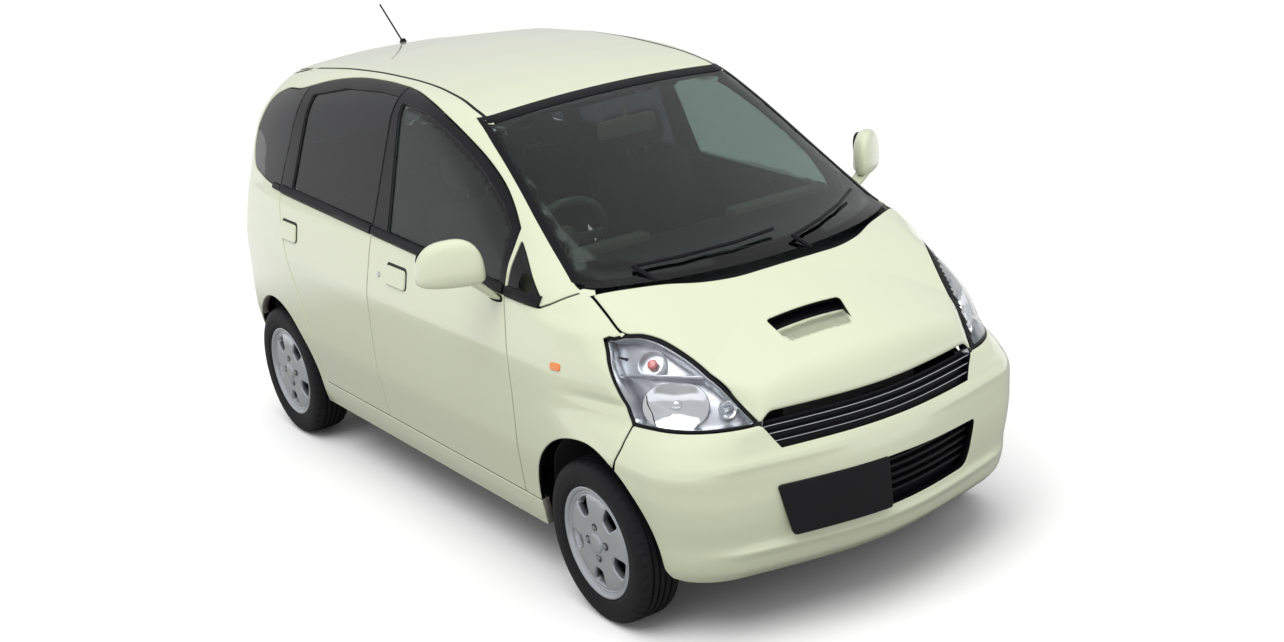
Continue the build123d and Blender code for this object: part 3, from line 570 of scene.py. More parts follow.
def stripData(chart, line, profile, closed=False):
    # section swept along a line on a chart; the profile's points are (across, out)
    line = np.array(dense(line, 14.0, closed))
    ahead = np.roll(line, -1, 0) - np.roll(line, 1, 0)
    if not closed:
        ahead[0], ahead[-1] = line[1] - line[0], line[-1] - line[-2]
    ahead /= np.linalg.norm(ahead, axis=1, keepdims=True) + 1e-9
    side = np.stack([-ahead[:, 1], ahead[:, 0]], 1)
    rings = []
    for across, out in profile:
        p, n = surface(chart, line + side * across)
        rings.append(p + n * out)
    count, k = len(line), len(profile)
    pts = np.stack(rings, 1).reshape(-1, 3)
    faces = []
    last = count if closed else count - 1
    for i in range(last):
        j = (i + 1) % count
        faces += [[i * k + s, i * k + (s + 1) % k, j * k + (s + 1) % k, j * k + s] for s in range(k)]
    if not closed:
        faces += [list(range(k - 1, -1, -1)), [(count - 1) * k + s for s in range(k)]]
    # turn the faces outwards
    a, b, c = (pts[q] for q in faces[0][:3])
    centre = pts[:k].mean(0)
    if np.dot(np.cross(b - a, c - a), (a + b) / 2 - centre) < 0:
        faces = [f[::-1] for f in faces]
    return pts, faces, np.zeros(len(faces), int), np.zeros((len(pts), 3))


def snap(chart, points):
    # rough space points on the right (y given positive), put on the surface along a chart
    p = np.array([(x, -y, z) for x, y, z in points], float)
    return surface(chart, dense(onChart(chart, p)))[0]


def bothHalves(chart, *half):
    # closed loop through the right half's lines and their mirror images
    return outline(chart, *half, *[l[::-1] * np.array([1, -1, 1]) for l in half[::-1]])


wheelPlace = {"frontX": 1092.5, "rearX": -1267.5, "y": 647.5, "radius": 265.5, "archZ": 270.5}


def arch(x, start, stop, reach):
    # wheel arch in side view, from one angle to another, its radius by angle
    turn = np.radians(np.linspace(start, stop, 40))
    r = smoothTable(reach)(np.degrees(turn))
    return [(x + q * math.cos(t), wheelPlace["archZ"] + q * math.sin(t)) for q, t in zip(r, turn)]


frontArch = [(-20, 288), (0, 290), (30, 299), (60, 313), (90, 332), (120, 334), (200, 332)]
rearArch = [(-20, 314), (200, 314)]


def beltZ(x):
    return 1003 - 0.030 * x


cowlLine = via("plan", curve([(1245, 0), (1242, -100), (1232, -200), (1201, -300), (1145, -400), (1089, -500),
                              (1030, -592)]))
bonnetSide = via("plan", curve([(1030, -592), (1110, -593), (1192, -588), (1242, -556), (1292, -527),
                                (1342, -503), (1392, -482), (1442, -465), (1492, -450), (1542, -433),
                                (1590, -411)]))
bonnetFront = via("plan", [(1657 - .285 * (math.hypot(y, 250) - 250), -y) for y in range(405, -1, -15)])
lampTop = np.concatenate([snap("wrap", [(1141, 660, 921), (1151, 637, 926)]),
                          via("plan", [(1165, -612), (1192, -590)])])
lampFoot = snap("wrap", [(1590, 411, 700), (1563, 447, 698), (1531, 509, 696), (1476, 583, 694),
                         (1383, 633, 692), (1287, 660, 690)])
lampBack = snap("wrap", [(1287, 660, 690), (1214, 664, 806), (1141, 660, 921)])
seamLine = snap("wrap", [(1287, 660, 690), (1266, 690, 620), (1249, 708, 583)])
doorFront = curve([(660, 308), (696, 538), (703, 700), (700, 800), (672, 945), (664, 982)], 6)
pillarFoot = snap("wrap", [(866, 680, 977), (900, 664, 990), (950, 640, 1014), (990, 612, 1030),
                           (1030, 592, 1028)])
screenSide = curve([(-598, 1029), (-584, 1081), (-568, 1147), (-552, 1210), (-535, 1274), (-519, 1339),
                    (-503, 1399), (-486, 1450)], 6)
screenTop = [(-y, 1475 - 25 * (y / 486) ** 2) for y in range(486, -1, -27)]
roofSeam = curve([(294, -470), (192, -464), (92, -453), (-7, -445), (-107, -439), (-307, -437), (-700, -436),
                  (-1100, -433), (-1455, -424)], 6)
doorTop = curve([(650, 1172), (600, 1218), (530, 1272), (400, 1345), (269, 1400), (120, 1450), (-19, 1484),
                 (-150, 1503), (-250, 1510)], 5)
rearTop = curve([(-250, 1510), (-420, 1511), (-700, 1498), (-900, 1470), (-1040, 1440)], 6)
doorSplit = curve([(-250, 1510), (-275, 1270), (-302, 1020), (-323, 777), (-336, 453), (-338, 308)], 6)
rearLine = curve([(-1040, 1440), (-1095, 1240), (-1138, 1046), (-1120, 960), (-1050, 800), (-975, 640),
                  (-925, 500), (-905, 308)], 6)

# bonnet, with its air scoop let into the right half
scoopLook = {"step": 3, "sink": 25, "ramp": (20, 92), "mouthX": 1414, "mouthSlant": 0.077, "split": 27}
scoopLoop = np.array(rounded([(1404, -220, 10), (1424, 40, 14), (1528, 10, 26), (1502, -214, 22)], 14, 6))


def mouthX(y):
    return scoopLook["mouthX"] + scoopLook["mouthSlant"] * (y + 90)


def rampShape(uv):
    # floor of the scoop: level with the bonnet at its front, sinking towards its mouth
    p, n = surface("plan", uv)
    ahead = p[:, 0] - mouthX(uv[:, 1])
    sunk = scoopLook["step"] + scoopLook["sink"] * (1 - step(ahead, *scoopLook["ramp"]))
    return p - n * sunk[:, None], n * 0


bonnetLoop = bothHalves("plan", cowlLine, bonnetSide, bonnetFront)
bonnet = panelData("plan", bonnetLoop, [scoopLoop], thick=18, roll=4, size=12)
piece("bonnetSkin", bonnet, [paint, trimBlack], "bonnet", ["bonnet"])
scoopUnder = inset(leftward(scoopLoop), -7)


def halfLoop(loop, sign):
    # the part of the scoop's outline ahead of its mouth (1) or behind it (-1)
    side = sign * (loop[:, 0] - mouthX(loop[:, 1]) - scoopLook["split"])
    out = []
    for a, b, u, v in zip(loop, np.roll(loop, -1, 0), side, np.roll(side, -1)):
        if u >= 0:
            out.append(a)
        if u * v < 0:
            out.append(a + (b - a) * u / (u - v))
    return np.array(out)


# behind its mouth the scoop's floor is a black sheet: painted shade standing in for the dark opening
for name, sign, mat in (("scoopRamp", 1, paint), ("scoopMouthPaintedShade", -1, sashBlack)):
    ramp = panelData("plan", halfLoop(scoopUnder, sign), thick=3, roll=1, size=8, gap=0, shape=rampShape)
    piece(name, ramp, [mat, mat], "bonnet")

# fenders
fenderLoop = outline(
    "wrap", via("side", doorFront), pillarFoot,
    bonnetSide[bonnetSide[:, 0] < 1190], lampTop[::-1], lampBack[::-1], seamLine,
    via("side", arch(wheelPlace["frontX"], 63, 172, frontArch)), via("side", [(761, 306), (660, 308)]))
fender = panelData("wrap", fenderLoop, thick=16, roll=3.5, size=15)
piece("fenderRight", fender, [paint, trimBlack], "root", ["front_fenders"])
piece("fenderLeft", flip(fender), [paint, trimBlack], "root")

# front bumper
half = [via("front", [(0, 627), (-361, 625)]), via("front", [(-361, 625), (-403, 694)]), lampFoot, seamLine,
        via("side", arch(wheelPlace["frontX"], 62, -2, frontArch)),
        snap("bumper", [(1383, 658, 250), (1400, 650, 222), (1440, 620, 210), (1490, 570, 207),
                        (1536, 442, 207), (1570, 300, 207), (1602, 0, 207)])]
bumperLoop = bothHalves("bumper", *half)
intakeHole = onChart("bumper", via("front", rounded([(-372, 492, 20), (0, 508, 60), (372, 492, 16),
                                                     (338, 346, 30), (0, 343, 60), (-338, 346, 30)], 20)))
bumper = panelData("bumper", bumperLoop, [intakeHole], thick=26, roll=4, size=15)
piece("bumperFront", bumper, [paint, trimBlack], "root", ["front_bumper"])

# body side: pillar, roof rail, quarter and sill in one pressing
quarterEdge = curve([(-1040, 1440), (-1116, 1424), (-1280, 1404), (-1400, 1352), (-1476, 1240)], 6)
quarterBack = curve([(-1476, 1240), (-1494, 1160), (-1468, 1098), (-1380, 1072), (-1205, 1050),
                     (-1138, 1046)], 6)
tailSide = [(-412, 1495), (-452, 1430), (-500, 1320), (-546, 1180), (-548, 960), (-532, 660), (-520, 606)]
sideEdges = [[(664, 982)], doorTop, rearTop, quarterEdge, quarterBack, rearLine[12:], [(-905, 308), (660, 308)],
             [(761, 306), (763, 262), (750, 207)], [(750, 207), (-948, 207)],
             arch(wheelPlace["rearX"], -11, 146, rearArch)]
bumperEdges = [[(-1540, 690, 460), (-1560, 690, 540), (-1590, 680, 604)],
               [(-1590, 680, 604), (-1660, 600, 606), (-1682, 520, 606)]]
sideLoop = outline("wrap", *[via("side", l) for l in sideEdges], *[snap("wrap", l) for l in bumperEdges],
                   via("rear", tailSide[::-1]), via("plan", roofSeam[::-1]), via("front", screenSide[::-1]),
                   pillarFoot[::-1], via("side", [(864, 977), (664, 982)]))
lampHole = onChart("wrap", via("rear", rounded([(-557, 702), (-650, 702), (-668, 860), (-650, 1000),
                                                (-560, 1040)], 20)))
cornerHole = onChart("wrap", via("side", rounded([(680, 1001, 6), (846, 996, 10), (850, 1004, 8),
                                                  (676, 1140, 10)], 8)))
sidePanel = panelData("wrap", sideLoop, [lampHole, cornerHole], thick=30, roll=3.5, size=16)
piece("bodySideRight", sidePanel, [paint, headliner], "root", ["body_sides"])
piece("bodySideLeft", flip(sidePanel), [paint, headliner], "root")

# roof, windscreen and tailgate
roofLoop = bothHalves("plan", via("front", screenTop[::-1]), via("plan", roofSeam),
                      via("plan", [(-1455, -424), (-1462, 0)]))
roof = panelData("plan", roofLoop, thick=24, roll=4, size=21, gap=5)
piece("roofSkin", roof, [paint, headliner], "root", ["roof_panel"])

screenHalf = [(0, 1044), (-250, 1043), (-450, 1040), (-585, 1036)] + screenSide[2:] + screenTop[1:]
screenLoop = np.array(screenHalf + [(-y, z) for y, z in screenHalf[-2:0:-1]])
screen = panelData("front", screenLoop, thick=4, roll=1, size=22, gap=4, deep=2)
piece("windscreenGlass", screen, [glassClear, glassClear], "root", ["windscreen"])
fritHole = np.array(rounded([(q[0] * 0.945, 1046 + (q[1] - 1046) * 0.95 + 42 * (1 - (q[1] - 1040) / 430))
                             for q in screenLoop[::6]], 20))
frit = panelData("front", screenLoop, [fritHole], thick=1.5, roll=0.4, size=22, gap=6, deep=7)
piece("screenFrit", frit, [trimBlack, trimBlack], "root")

tailHalf = [(0, 606), (-470, 606), (-520, 628), (-534, 670), (-546, 960), (-544, 1180), (-500, 1318),
            (-450, 1430), (-412, 1492), (0, 1507)]
tailLoop = np.array(tailHalf + [(-y, z) for y, z in tailHalf[-2:0:-1]])
rearGlassLoop = np.array(rounded([(-465, 1085, 30), (-498, 1130, 20), (-432, 1380, 25), (-395, 1410, 25),
                                  (395, 1410, 25), (432, 1380, 25), (498, 1130, 20), (465, 1085, 30)], 20))
tail = panelData("rear", tailLoop, [rearGlassLoop], thick=34, roll=4, size=16)
piece("tailgateSkin", tail, [paint, cabinDark], "tailgate", ["tailgate"])
rearGlass = panelData("rear", rearGlassLoop, thick=4, roll=1, size=20, gap=-1, deep=3)
piece("tailgateGlass", rearGlass, [glassDark, glassDark], "tailgate", ["tailgate_glass"])

rearHalf = [snap("tail", [(-1697, 0, 606), (-1682, 520, 606), (-1660, 600, 606), (-1590, 680, 604),
                          (-1560, 690, 540), (-1540, 690, 460)]),
            via("side", arch(wheelPlace["rearX"], 146, 181, rearArch)),
            snap("tail", [(-1584, 660, 250), (-1600, 620, 214), (-1640, 480, 207), (-1648, 0, 207)])]
rearBumper = panelData("tail", bothHalves("tail", *rearHalf), thick=26, roll=4, size=17)
piece("bumperRear", rearBumper, [paint, trimBlack], "root", ["rear_bumper"])
print("shell made", flush=True)

# doors: painted skin up to the belt, black sash above it, glass in the sash
frontWindow = [(-181, 1038), (-206, 1466), (-19, 1452), (120, 1418), (269, 1367), (400, 1310), (530, 1236),
               (612, 1166), (626, 1014)]
rearWindow = [(-307, 1042), (-266, 1483), (-420, 1483), (-700, 1466), (-966, 1417), (-1028, 1066)]
beltFront, beltRear = [(664, beltZ(664)), (-302, beltZ(-302))], [(-302, beltZ(-302)), (-1134, beltZ(-1134))]


def clipped(line, test):
    return [q for q in line if test(q)]


doorPlan = {
    "front": {"skin": [doorFront, beltFront, clipped(doorSplit, lambda q: q[1] < beltZ(q[0]) - 6)],
              "sash": [[(664, beltZ(664) + 1), (668, 1060), (650, 1172)], doorTop,
                       clipped(doorSplit, lambda q: q[1] > beltZ(q[0]) + 6), beltFront[::-1]],
              "window": frontWindow, "glass": glassClear, "slot": "windscreen_glass"},
    "rear": {"skin": [clipped(rearLine, lambda q: q[1] < beltZ(q[0]) - 4)[::-1], beltRear[::-1],
                      clipped(doorSplit, lambda q: q[1] < beltZ(q[0]) - 6)],
             "sash": [rearTop, clipped(rearLine, lambda q: q[1] > beltZ(q[0]) + 4), beltRear[::-1],
                      clipped(doorSplit, lambda q: q[1] > beltZ(q[0]) + 6)[::-1]],
             "window": rearWindow, "glass": glassDark, "slot": "privacy_glass"},
}
for end, plan in doorPlan.items():
    skinLoop, sashLoop = (outline("wrap", *[via("side", l) for l in plan[part]]) for part in ("skin", "sash"))
    hole = onChart("wrap", via("side", rounded(plan["window"], 10)))
    skin = panelData("wrap", skinLoop, thick=46, roll=3.5, size=15)
    sash = panelData("wrap", sashLoop, [hole], thick=34, roll=3, size=16, deep=1)
    pane = panelData("wrap", hole, thick=4, roll=1, size=20, gap=-2, deep=9)
    for side, turned in sides:
        body = f"{end}_door_{side}"
        piece(f"doorSkin_{end}_{side}", turned(skin), [paint, cabinDark], body,
              [f"door_{end}_{side}"])
        piece(f"doorSash_{end}_{side}", turned(sash), [sashBlack, cabinDark], body)
        piece(f"doorGlass_{end}_{side}", turned(pane), [plan["glass"], plan["glass"]], body,
              [f"door_glass_{end}_{side}"])
quarterLines = (quarterEdge, quarterBack, rearLine[:12][::-1])
quarterHole = onChart("wrap", np.concatenate([via("side", l) for l in quarterLines]))
quarter = panelData("wrap", quarterHole, thick=5, roll=2, size=18, gap=4, deep=2)
corner = panelData("wrap", cornerHole, thick=4, roll=1, size=18, gap=1, deep=3)
piece("sideGlassRight", joined(quarter, corner), [glassDark, glassDark], "root",
      ["side_glass"])
piece("sideGlassLeft", flip(joined(quarter, corner)), [glassDark, glassDark], "root")
print("doors made", flush=True)

# black lines: seals, seams and mouldings


def flatBar(w, low, high, r=1.5):
    # rounded bar section, w wide
    return [(-w / 2, low), (-w / 2, high - r), (-w / 2 + r, high), (w / 2 - r, high), (w / 2, high - r),
            (w / 2, low)]


def both(data):
    return joined(data, flip(data))


screenRing = np.array([(q[0] * 0.995, q[1]) for q in screenLoop if q[1] > 1044])
ringSplit = int(np.argmax(np.linalg.norm(screenRing - np.roll(screenRing, 1, 0), axis=1)))
screenRing = np.roll(screenRing, -ringSplit, 0)
seal = stripData("front", screenRing, flatBar(17, -9, 1.0))
piece("windscreenSeal", seal, [rubberSeal], "root")
seamStrip = stripData("plan", np.array(clipped(roofSeam, lambda q: q[0] < 288)), flatBar(12, -8, -0.3))
piece("roofSeams", both(seamStrip), [rubberSeal], "root")

moulding = [(-13, -3), (-14, 5), (-10, 8), (10, 8.5), (14, 5), (13, -3)]
mouldings = {
    "front": stripData("side", [(660, beltZ(660) + 14), (-296, beltZ(-296) + 14)], moulding),
    "rear": stripData("side", [(-308, beltZ(-308) + 14), (-1128, beltZ(-1128) + 14)], moulding),
}
for end, data in mouldings.items():
    piece(f"belt_{end}_right", data, [trimBlack], f"{end}_door_right")
    piece(f"belt_{end}_left", flip(data), [trimBlack], f"{end}_door_left")
cornerBar = stripData("side", [(678, beltZ(678) + 16), (862, beltZ(862) + 17)],
                      [(-17, -3), (-18, 7), (-12, 10), (9, 9), (13, 5), (13, -3)])
rearBarLine = onChart("wrap", via("side", [(-1140, beltZ(-1140) + 12), (-1216, beltZ(-1216) + 12)]))
rearBar = stripData("wrap", rearBarLine, [(-11, -3), (-11, 5), (9, 6), (11, 4), (11, -3)])
piece("fixedBelts", both(joined(cornerBar, rearBar)), [trimBlack], "root")

# cowl under the wipers
cowlLoop = bothHalves("plan", via("front", [(0, 1056), (-300, 1054), (-588, 1046)]), cowlLine[::-1])


def cowlShape(uv):
    # tray just below the bonnet's rear edge, up to the glass
    uv = np.asarray(uv, float)
    z = 1024 - 1.2e-5 * uv[:, 1] ** 2 - 0.10 * (uv[:, 0] - 1235 + 5.2e-4 * uv[:, 1] ** 2)
    n = np.zeros((len(uv), 3))
    n[:, 2] = 1
    return np.stack([uv[:, 0], uv[:, 1], z - 6], 1), n


cowl = panelData("plan", cowlLoop, thick=8, roll=2, size=22, gap=-6, shape=cowlShape)
piece("cowl", cowl, [trimBlack, trimBlack], "root")

# grille and intake behind the bumper's openings
grilleLook = {"slats": 3, "lowest": 644, "pitch": 23, "halfWidth": 372, "flare": 0.55, "silver": 1.6}
intakeLook = {"bars": (370, 400, 430, 460, 488), "left": -40, "right": 372, "taper": 0.2}
slotLoop = np.array([(-412, 704), (-360, 616), (360, 616), (412, 704)])
grilleBack = panelData("front", slotLoop, thick=3, roll=1, size=24, gap=0, deep=26)
grillePieces = [grilleBack]
silverLines = []
for i in range(grilleLook["slats"]):
    z = grilleLook["lowest"] + grilleLook["pitch"] * i
    half = grilleLook["halfWidth"] + (z - 628) * grilleLook["flare"]
    line = [(-half, z), (half, z)]
    w = grilleLook["silver"] / 2
    grillePieces.append(stripData("front", line, [(-3.2, -25), (-3.2, -9), (3.2, -9), (3.2, -25)]))
    silverLines.append(stripData("front", line, [(-w, -9.5), (-w, -8.4), (w, -8.4), (w, -9.5)]))
piece("grilleSlats", joined(*grillePieces), [trimBlack], "root", ["grille"])
piece("grilleLines", joined(*silverLines), [silverTrim], "root")

plateLoop = np.array(rounded([(-398, 514, 14), (-32, 514, 10), (-30, 349, 12), (-362, 349, 14)], 12))


def plateShape(uv):
    # carrier that leans with the bumper's curve
    uv = np.asarray(uv, float)
    x = 1697 - 0.30 * (np.sqrt(uv[:, 0] ** 2 + 62500) - 250) + 6
    n = np.stack([np.ones(len(uv)), 0.30 * uv[:, 0] / np.sqrt(uv[:, 0] ** 2 + 62500), 0 * uv[:, 0]], 1)
    return np.stack([x, uv[:, 0], uv[:, 1]], 1), n / np.linalg.norm(n, axis=1, keepdims=True)


plate = panelData("front", plateLoop, thick=14, roll=4, size=24, gap=0, shape=plateShape)
intakeBack = panelData("front", [(-420, 520), (420, 520), (400, 330), (-400, 330)], thick=3, roll=1,
                       size=26, gap=0, deep=44)
bars = []
barSection = [(-4, -40), (-4, -24), (4, -24), (4, -40)]
for z in intakeLook["bars"]:
    end = intakeLook["right"] - (490 - z) * intakeLook["taper"]
    bars.append(stripData("front", [(intakeLook["left"], z), (end, z)], barSection))
piece("intakeMesh", joined(plate, intakeBack, *bars), [trimBlack, trimBlack], "root",
      ["intake_grille"])

# solids by turning and lofting


def solid(pts, faces):
    # piece data of a closed mesh, its faces turned outwards
    total = 0.0
    for n in {len(f) for f in faces}:
        f = np.array([q for q in faces if len(q) == n])
        for i in range(1, n - 1):
            total += np.sum(pts[f[:, 0]] * np.cross(pts[f[:, i]], pts[f[:, i + 1]]))
    if total < 0:
        faces = [list(f)[::-1] for f in faces]
    return pts, faces, np.zeros(len(faces), int), np.zeros((len(pts), 3))


def latheData(profile, centre, axis, count, change=None):
    # section of (radius, along) turned about an axis; it starts and ends on the axis, or is closed
    w = np.array(axis, float) / np.linalg.norm(axis)
    u = np.cross(w, (0, 0, 1) if abs(w[2]) < 0.9 else (1, 0, 0))
    u /= np.linalg.norm(u)
    v = np.cross(w, u)
    turn = np.arange(count) * 2 * math.pi / count
    ring = np.cos(turn)[:, None] * u + np.sin(turn)[:, None] * v
    pts, rows, at = [], [], 0
    for r, s in profile:
        if r < 1e-6:
            pts.append((np.array(centre, float) + w * s)[None])
            rows.append([at] * count)
            at += 1
        else:
            reach = r + (change(r, s, np.arange(count)) if change else np.zeros(count))
            pts.append(np.array(centre, float) + ring * reach[:, None] + w * s)
            rows.append(list(range(at, at + count)))
            at += count
    pairs = list(zip(rows, rows[1:]))
    if profile[0][0] > 1e-6:
        pairs.append((rows[-1], rows[0]))
    faces = []
    for a, b in pairs:
        for i in range(count):
            j = (i + 1) % count
            quad = [a[i], a[j], b[j], b[i]]
            faces.append([q for k, q in enumerate(quad) if q not in quad[:k]])
    return solid(np.concatenate(pts), faces)


def loftData(rings):
    # rings of equal count joined one to the next, flat at both ends
    k, pts = len(rings[0]), np.concatenate([np.asarray(r, float) for r in rings])
    faces = [list(range(k))[::-1], [(len(rings) - 1) * k + i for i in range(k)]]
    for a in range(len(rings) - 1):
        faces += [[a * k + i, a * k + (i + 1) % k, (a + 1) * k + (i + 1) % k, (a + 1) * k + i]
                  for i in range(k)]
    return solid(pts, faces)


def rodData(points, radius, count=12):
    # round bar through points
    p = np.array(points, float)
    way = np.gradient(p, axis=0)
    rings = []
    for q, w in zip(p, way):
        w = w / np.linalg.norm(w)
        u = np.cross(w, (0.3, 1, 0.2))
        u /= np.linalg.norm(u)
        v = np.cross(w, u)
        turn = np.arange(count) * 2 * math.pi / count
        rings.append(q + radius * (np.cos(turn)[:, None] * u + np.sin(turn)[:, None] * v))
    return loftData(rings)


def boxData(low, high, r):
    # block with rounded upright edges and softened ends
    (x0, y0, z0), (x1, y1, z1) = low, high
    rings = []
    for z, d in ((z0, r * 0.7), (z0 + r * 0.3, r * 0.2), (z0 + r, 0), (z1 - r, 0), (z1 - r * 0.3, r * 0.2),
                 (z1, r * 0.7)):
        ring = rounded([(x0 + d, y0 + d), (x1 - d, y0 + d), (x1 - d, y1 - d), (x0 + d, y1 - d)], r, 3)
        rings.append([(x, y, z) for x, y in ring])
    return loftData(rings)


def repeatTree():
    # copies of the shape at places on a ring about its Y axis; sizes are in metres
    tree = bpy.data.node_groups.new("ring of parts", "GeometryNodeTree")
    named = {"Shape": "Geometry", "Count": "Int", "Radius": "Float", "Start": "Float", "Finish": "Material"}
    for name, kind in named.items():
        tree.interface.new_socket(name, in_out="INPUT", socket_type=f"NodeSocket{kind}")
    tree.interface.new_socket("Parts", in_out="OUTPUT", socket_type="NodeSocketGeometry")
    given, made = tree.nodes.new("NodeGroupInput").outputs, tree.nodes.new("NodeGroupOutput").inputs

    def node(kind, **inputs):
        n = tree.nodes.new(kind)
        for name, value in inputs.items():
            if isinstance(value, bpy.types.NodeSocket):
                tree.links.new(value, n.inputs[name])
            else:
                n.inputs[name].default_value = value
        return n.outputs[0]

    ring = node("GeometryNodeMeshCircle", Vertices=given["Count"], Radius=given["Radius"])
    angles = node("ShaderNodeCombineXYZ", X=math.radians(90), Y=given["Start"])
    places = node("GeometryNodeTransform", Geometry=ring, Rotation=angles)
    copies = node("GeometryNodeInstanceOnPoints", Points=places, Instance=given["Shape"])
    real = node("GeometryNodeRealizeInstances", Geometry=copies)
    tree.links.new(node("GeometryNodeSetMaterial", Geometry=real, Material=given["Finish"]), made["Parts"])
    return tree


ringTree = repeatTree()


def asMesh(ob, mod):
    # the object's mesh with its modifier applied; the modifier goes
    done = bpy.data.meshes.new_from_object(ob.evaluated_get(bpy.context.evaluated_depsgraph_get()))
    ob.modifiers.remove(mod)
    return done


def readBack(me):
    # a mesh's points in millimetres, and its faces
    return np.array([v.co[:] for v in me.vertices]) * 1000, [list(p.vertices) for p in me.polygons]


def repeated(data, mat, count, radius, start):
    # piece data of a shape repeated round a ring, as one plain mesh
    ob = makeMesh("repeated", data[0], data[1], [mat])
    mod = ob.modifiers.new("ring", "NODES")
    mod.node_group = ringTree
    given = {"Count": count, "Radius": radius / 1000, "Start": math.radians(-start), "Finish": mat.mat}
    for item in ringTree.interface.items_tree:
        if item.name in given:
            mod[item.identifier] = given[item.name]
    done = asMesh(ob, mod)
    bpy.data.objects.remove(ob)
    return solid(*readBack(done))


def eggRing(centre, across, upwards, power=2.6, count=32):
    # rounded box-like ring about a centre, its half sizes given as vectors
    turn = np.arange(count) * 2 * math.pi / count
    c, s = np.cos(turn), np.sin(turn)
    c = np.sign(c) * np.abs(c) ** (2 / power)
    s = np.sign(s) * np.abs(s) ** (2 / power)
    centre, across, upwards = (np.array(v, float) for v in (centre, across, upwards))
    return centre + c[:, None] * across + s[:, None] * upwards


# lamps
lampSide = bonnetSide[bonnetSide[:, 0] > 1192]
lampLoop = outline("wrap", lampTop, lampSide, lampFoot, lampBack)
lens = panelData("wrap", lampLoop, thick=3, roll=1.2, size=12, gap=5, deep=1.5)
piece("headlampLens", both(lens), [lensClear, lensClear], "root", ["headlamps"])
gasketLine = inset(leftward(lampLoop), 4.0)
lampCorner = onChart("wrap", [(1141, -660, 921)])[0]
gasketLine = gasketLine[np.linalg.norm(gasketLine - lampCorner, axis=1) > 9]
gasket = stripData("wrap", gasketLine, [(-3.4, -12), (-3.4, -1.5), (2.6, -1.2), (2.6, -12)], True)
piece("headlampGasket", both(gasket), [rubberSeal], "root")


def atDepth(point, depth):
    # place on the right under the body's surface, and the outward direction there
    p, n = surface("wrap", onChart("wrap", [point]))
    return p[0] - n[0] * depth, n[0]


lampLoopIn = inset(leftward(lampLoop), 8.0)
bowl = panelData("wrap", lampLoopIn, thick=2, roll=0.6, size=14, gap=0, deep=50)
lampWall = stripData("wrap", lampLoopIn, [(-1, -50), (-1, -7), (1.5, -7), (1.5, -50)], True)
shelfLine = onChart("wrap", [(1222, -650, 832), (1300, -590, 845), (1372, -530, 846), (1440, -472, 836)])
shelf = stripData("wrap", shelfLine, [(-5, -49), (-2.5, -16), (2.5, -16), (5, -49)])
housing = joined(bowl, lampWall, shelf)
piece("headlampHousing", both(housing), [silverTrim, silverTrim], "root")


def reflectorData(point, depth, radius, hollow, turnIn, wider):
    # bowl reflector with a rolled rim and a bulb cap at its middle; it can be wider than high
    count = 56

    def change(r, s, i):
        return r * wider * np.cos(i * 2 * math.pi / count) ** 2

    c, n = atDepth(point, depth)
    axis = n + np.array([turnIn, 0, 0])
    section = [(radius * t, -hollow * (1 - t * t)) for t in (0.0, 0.25, 0.5, 0.7, 0.85, 1.0)]
    section = section + [(radius + 3, 1), (radius + 4, -3), (radius * 0.9, -hollow * 0.5 - 3),
                         (0, -hollow - 2)]
    cap = [(0, -hollow), (radius * 0.2, -hollow), (radius * 0.2, -hollow * 0.35),
           (radius * 0.13, -hollow * 0.2), (0, -hollow * 0.2)]
    return joined(latheData(section, c, axis, count, change), latheData(cap, c, axis, 24))


beamLook = {
    "main": {"point": (1414, -586, 764), "depth": 28, "radius": 62, "hollow": 19, "turnIn": 0.22, "wider": 0.52},
    "high": {"point": (1530, -478, 752), "depth": 18, "radius": 24, "hollow": 20, "turnIn": 0.7, "wider": 0.0},
}
beams = joined(*[reflectorData(**beam) for beam in beamLook.values()])
piece("headlampReflectors", both(beams), [chrome], "root")
turnLook = {"point": (1302, -582, 876), "depth": 24}
bulbAt, bulbWay = atDepth(**turnLook)
bulbRing = latheData([(36, -22), (38, 0), (42, 2), (45, -2), (43, -24)], bulbAt, bulbWay, 40)
bulbBack = latheData([(0, -22), (39, -22), (39, -24), (0, -24)], bulbAt, bulbWay, 40)
piece("headlampRing", both(joined(bulbRing, bulbBack)), [silverTrim], "root")
bulbBody = latheData([(0, -21), (12, -20), (16, -10), (12, -1), (0, 3)], bulbAt, bulbWay, 28)
piece("headlampBulb", both(bulbBody), [bulbPink], "root")

tailLens = panelData("wrap", lampHole, thick=10, roll=3, size=14, gap=4, deep=0)
tailHeight = np.array([np.mean([tailLens[0][i][2] for i in f]) for f in tailLens[1]])
tailKinds = np.where((tailHeight > 835) & (tailHeight < 885) & (tailLens[2] == 0), 2, tailLens[2])
tailLens = (tailLens[0], tailLens[1], tailKinds, tailLens[3])
piece("tailLamps", both(tailLens), [lensRed, trimBlack, lensWhite], "root", ["tail_lamps"])


def roundPanel(x, z, w, h, r, deep, thick, roll=2.0, grow=0.0):
    # rounded panel on the right-hand side about a place in side view
    w, h = w / 2 + grow, h / 2 + grow
    loop = np.array(rounded([(x - w, z - h), (x + w, z - h), (x + w, z + h), (x - w, z + h)], r, 6))
    return panelData("wrap", loop, thick=thick, roll=roll, size=10, gap=0, deep=deep)


repeaterLook = {"x": 978, "z": 819, "w": 46, "h": 24, "r": 11, "deep": -4, "thick": 6, "roll": 3}
piece("sideRepeaters", both(roundPanel(**repeaterLook)), [amber, amber], "root")

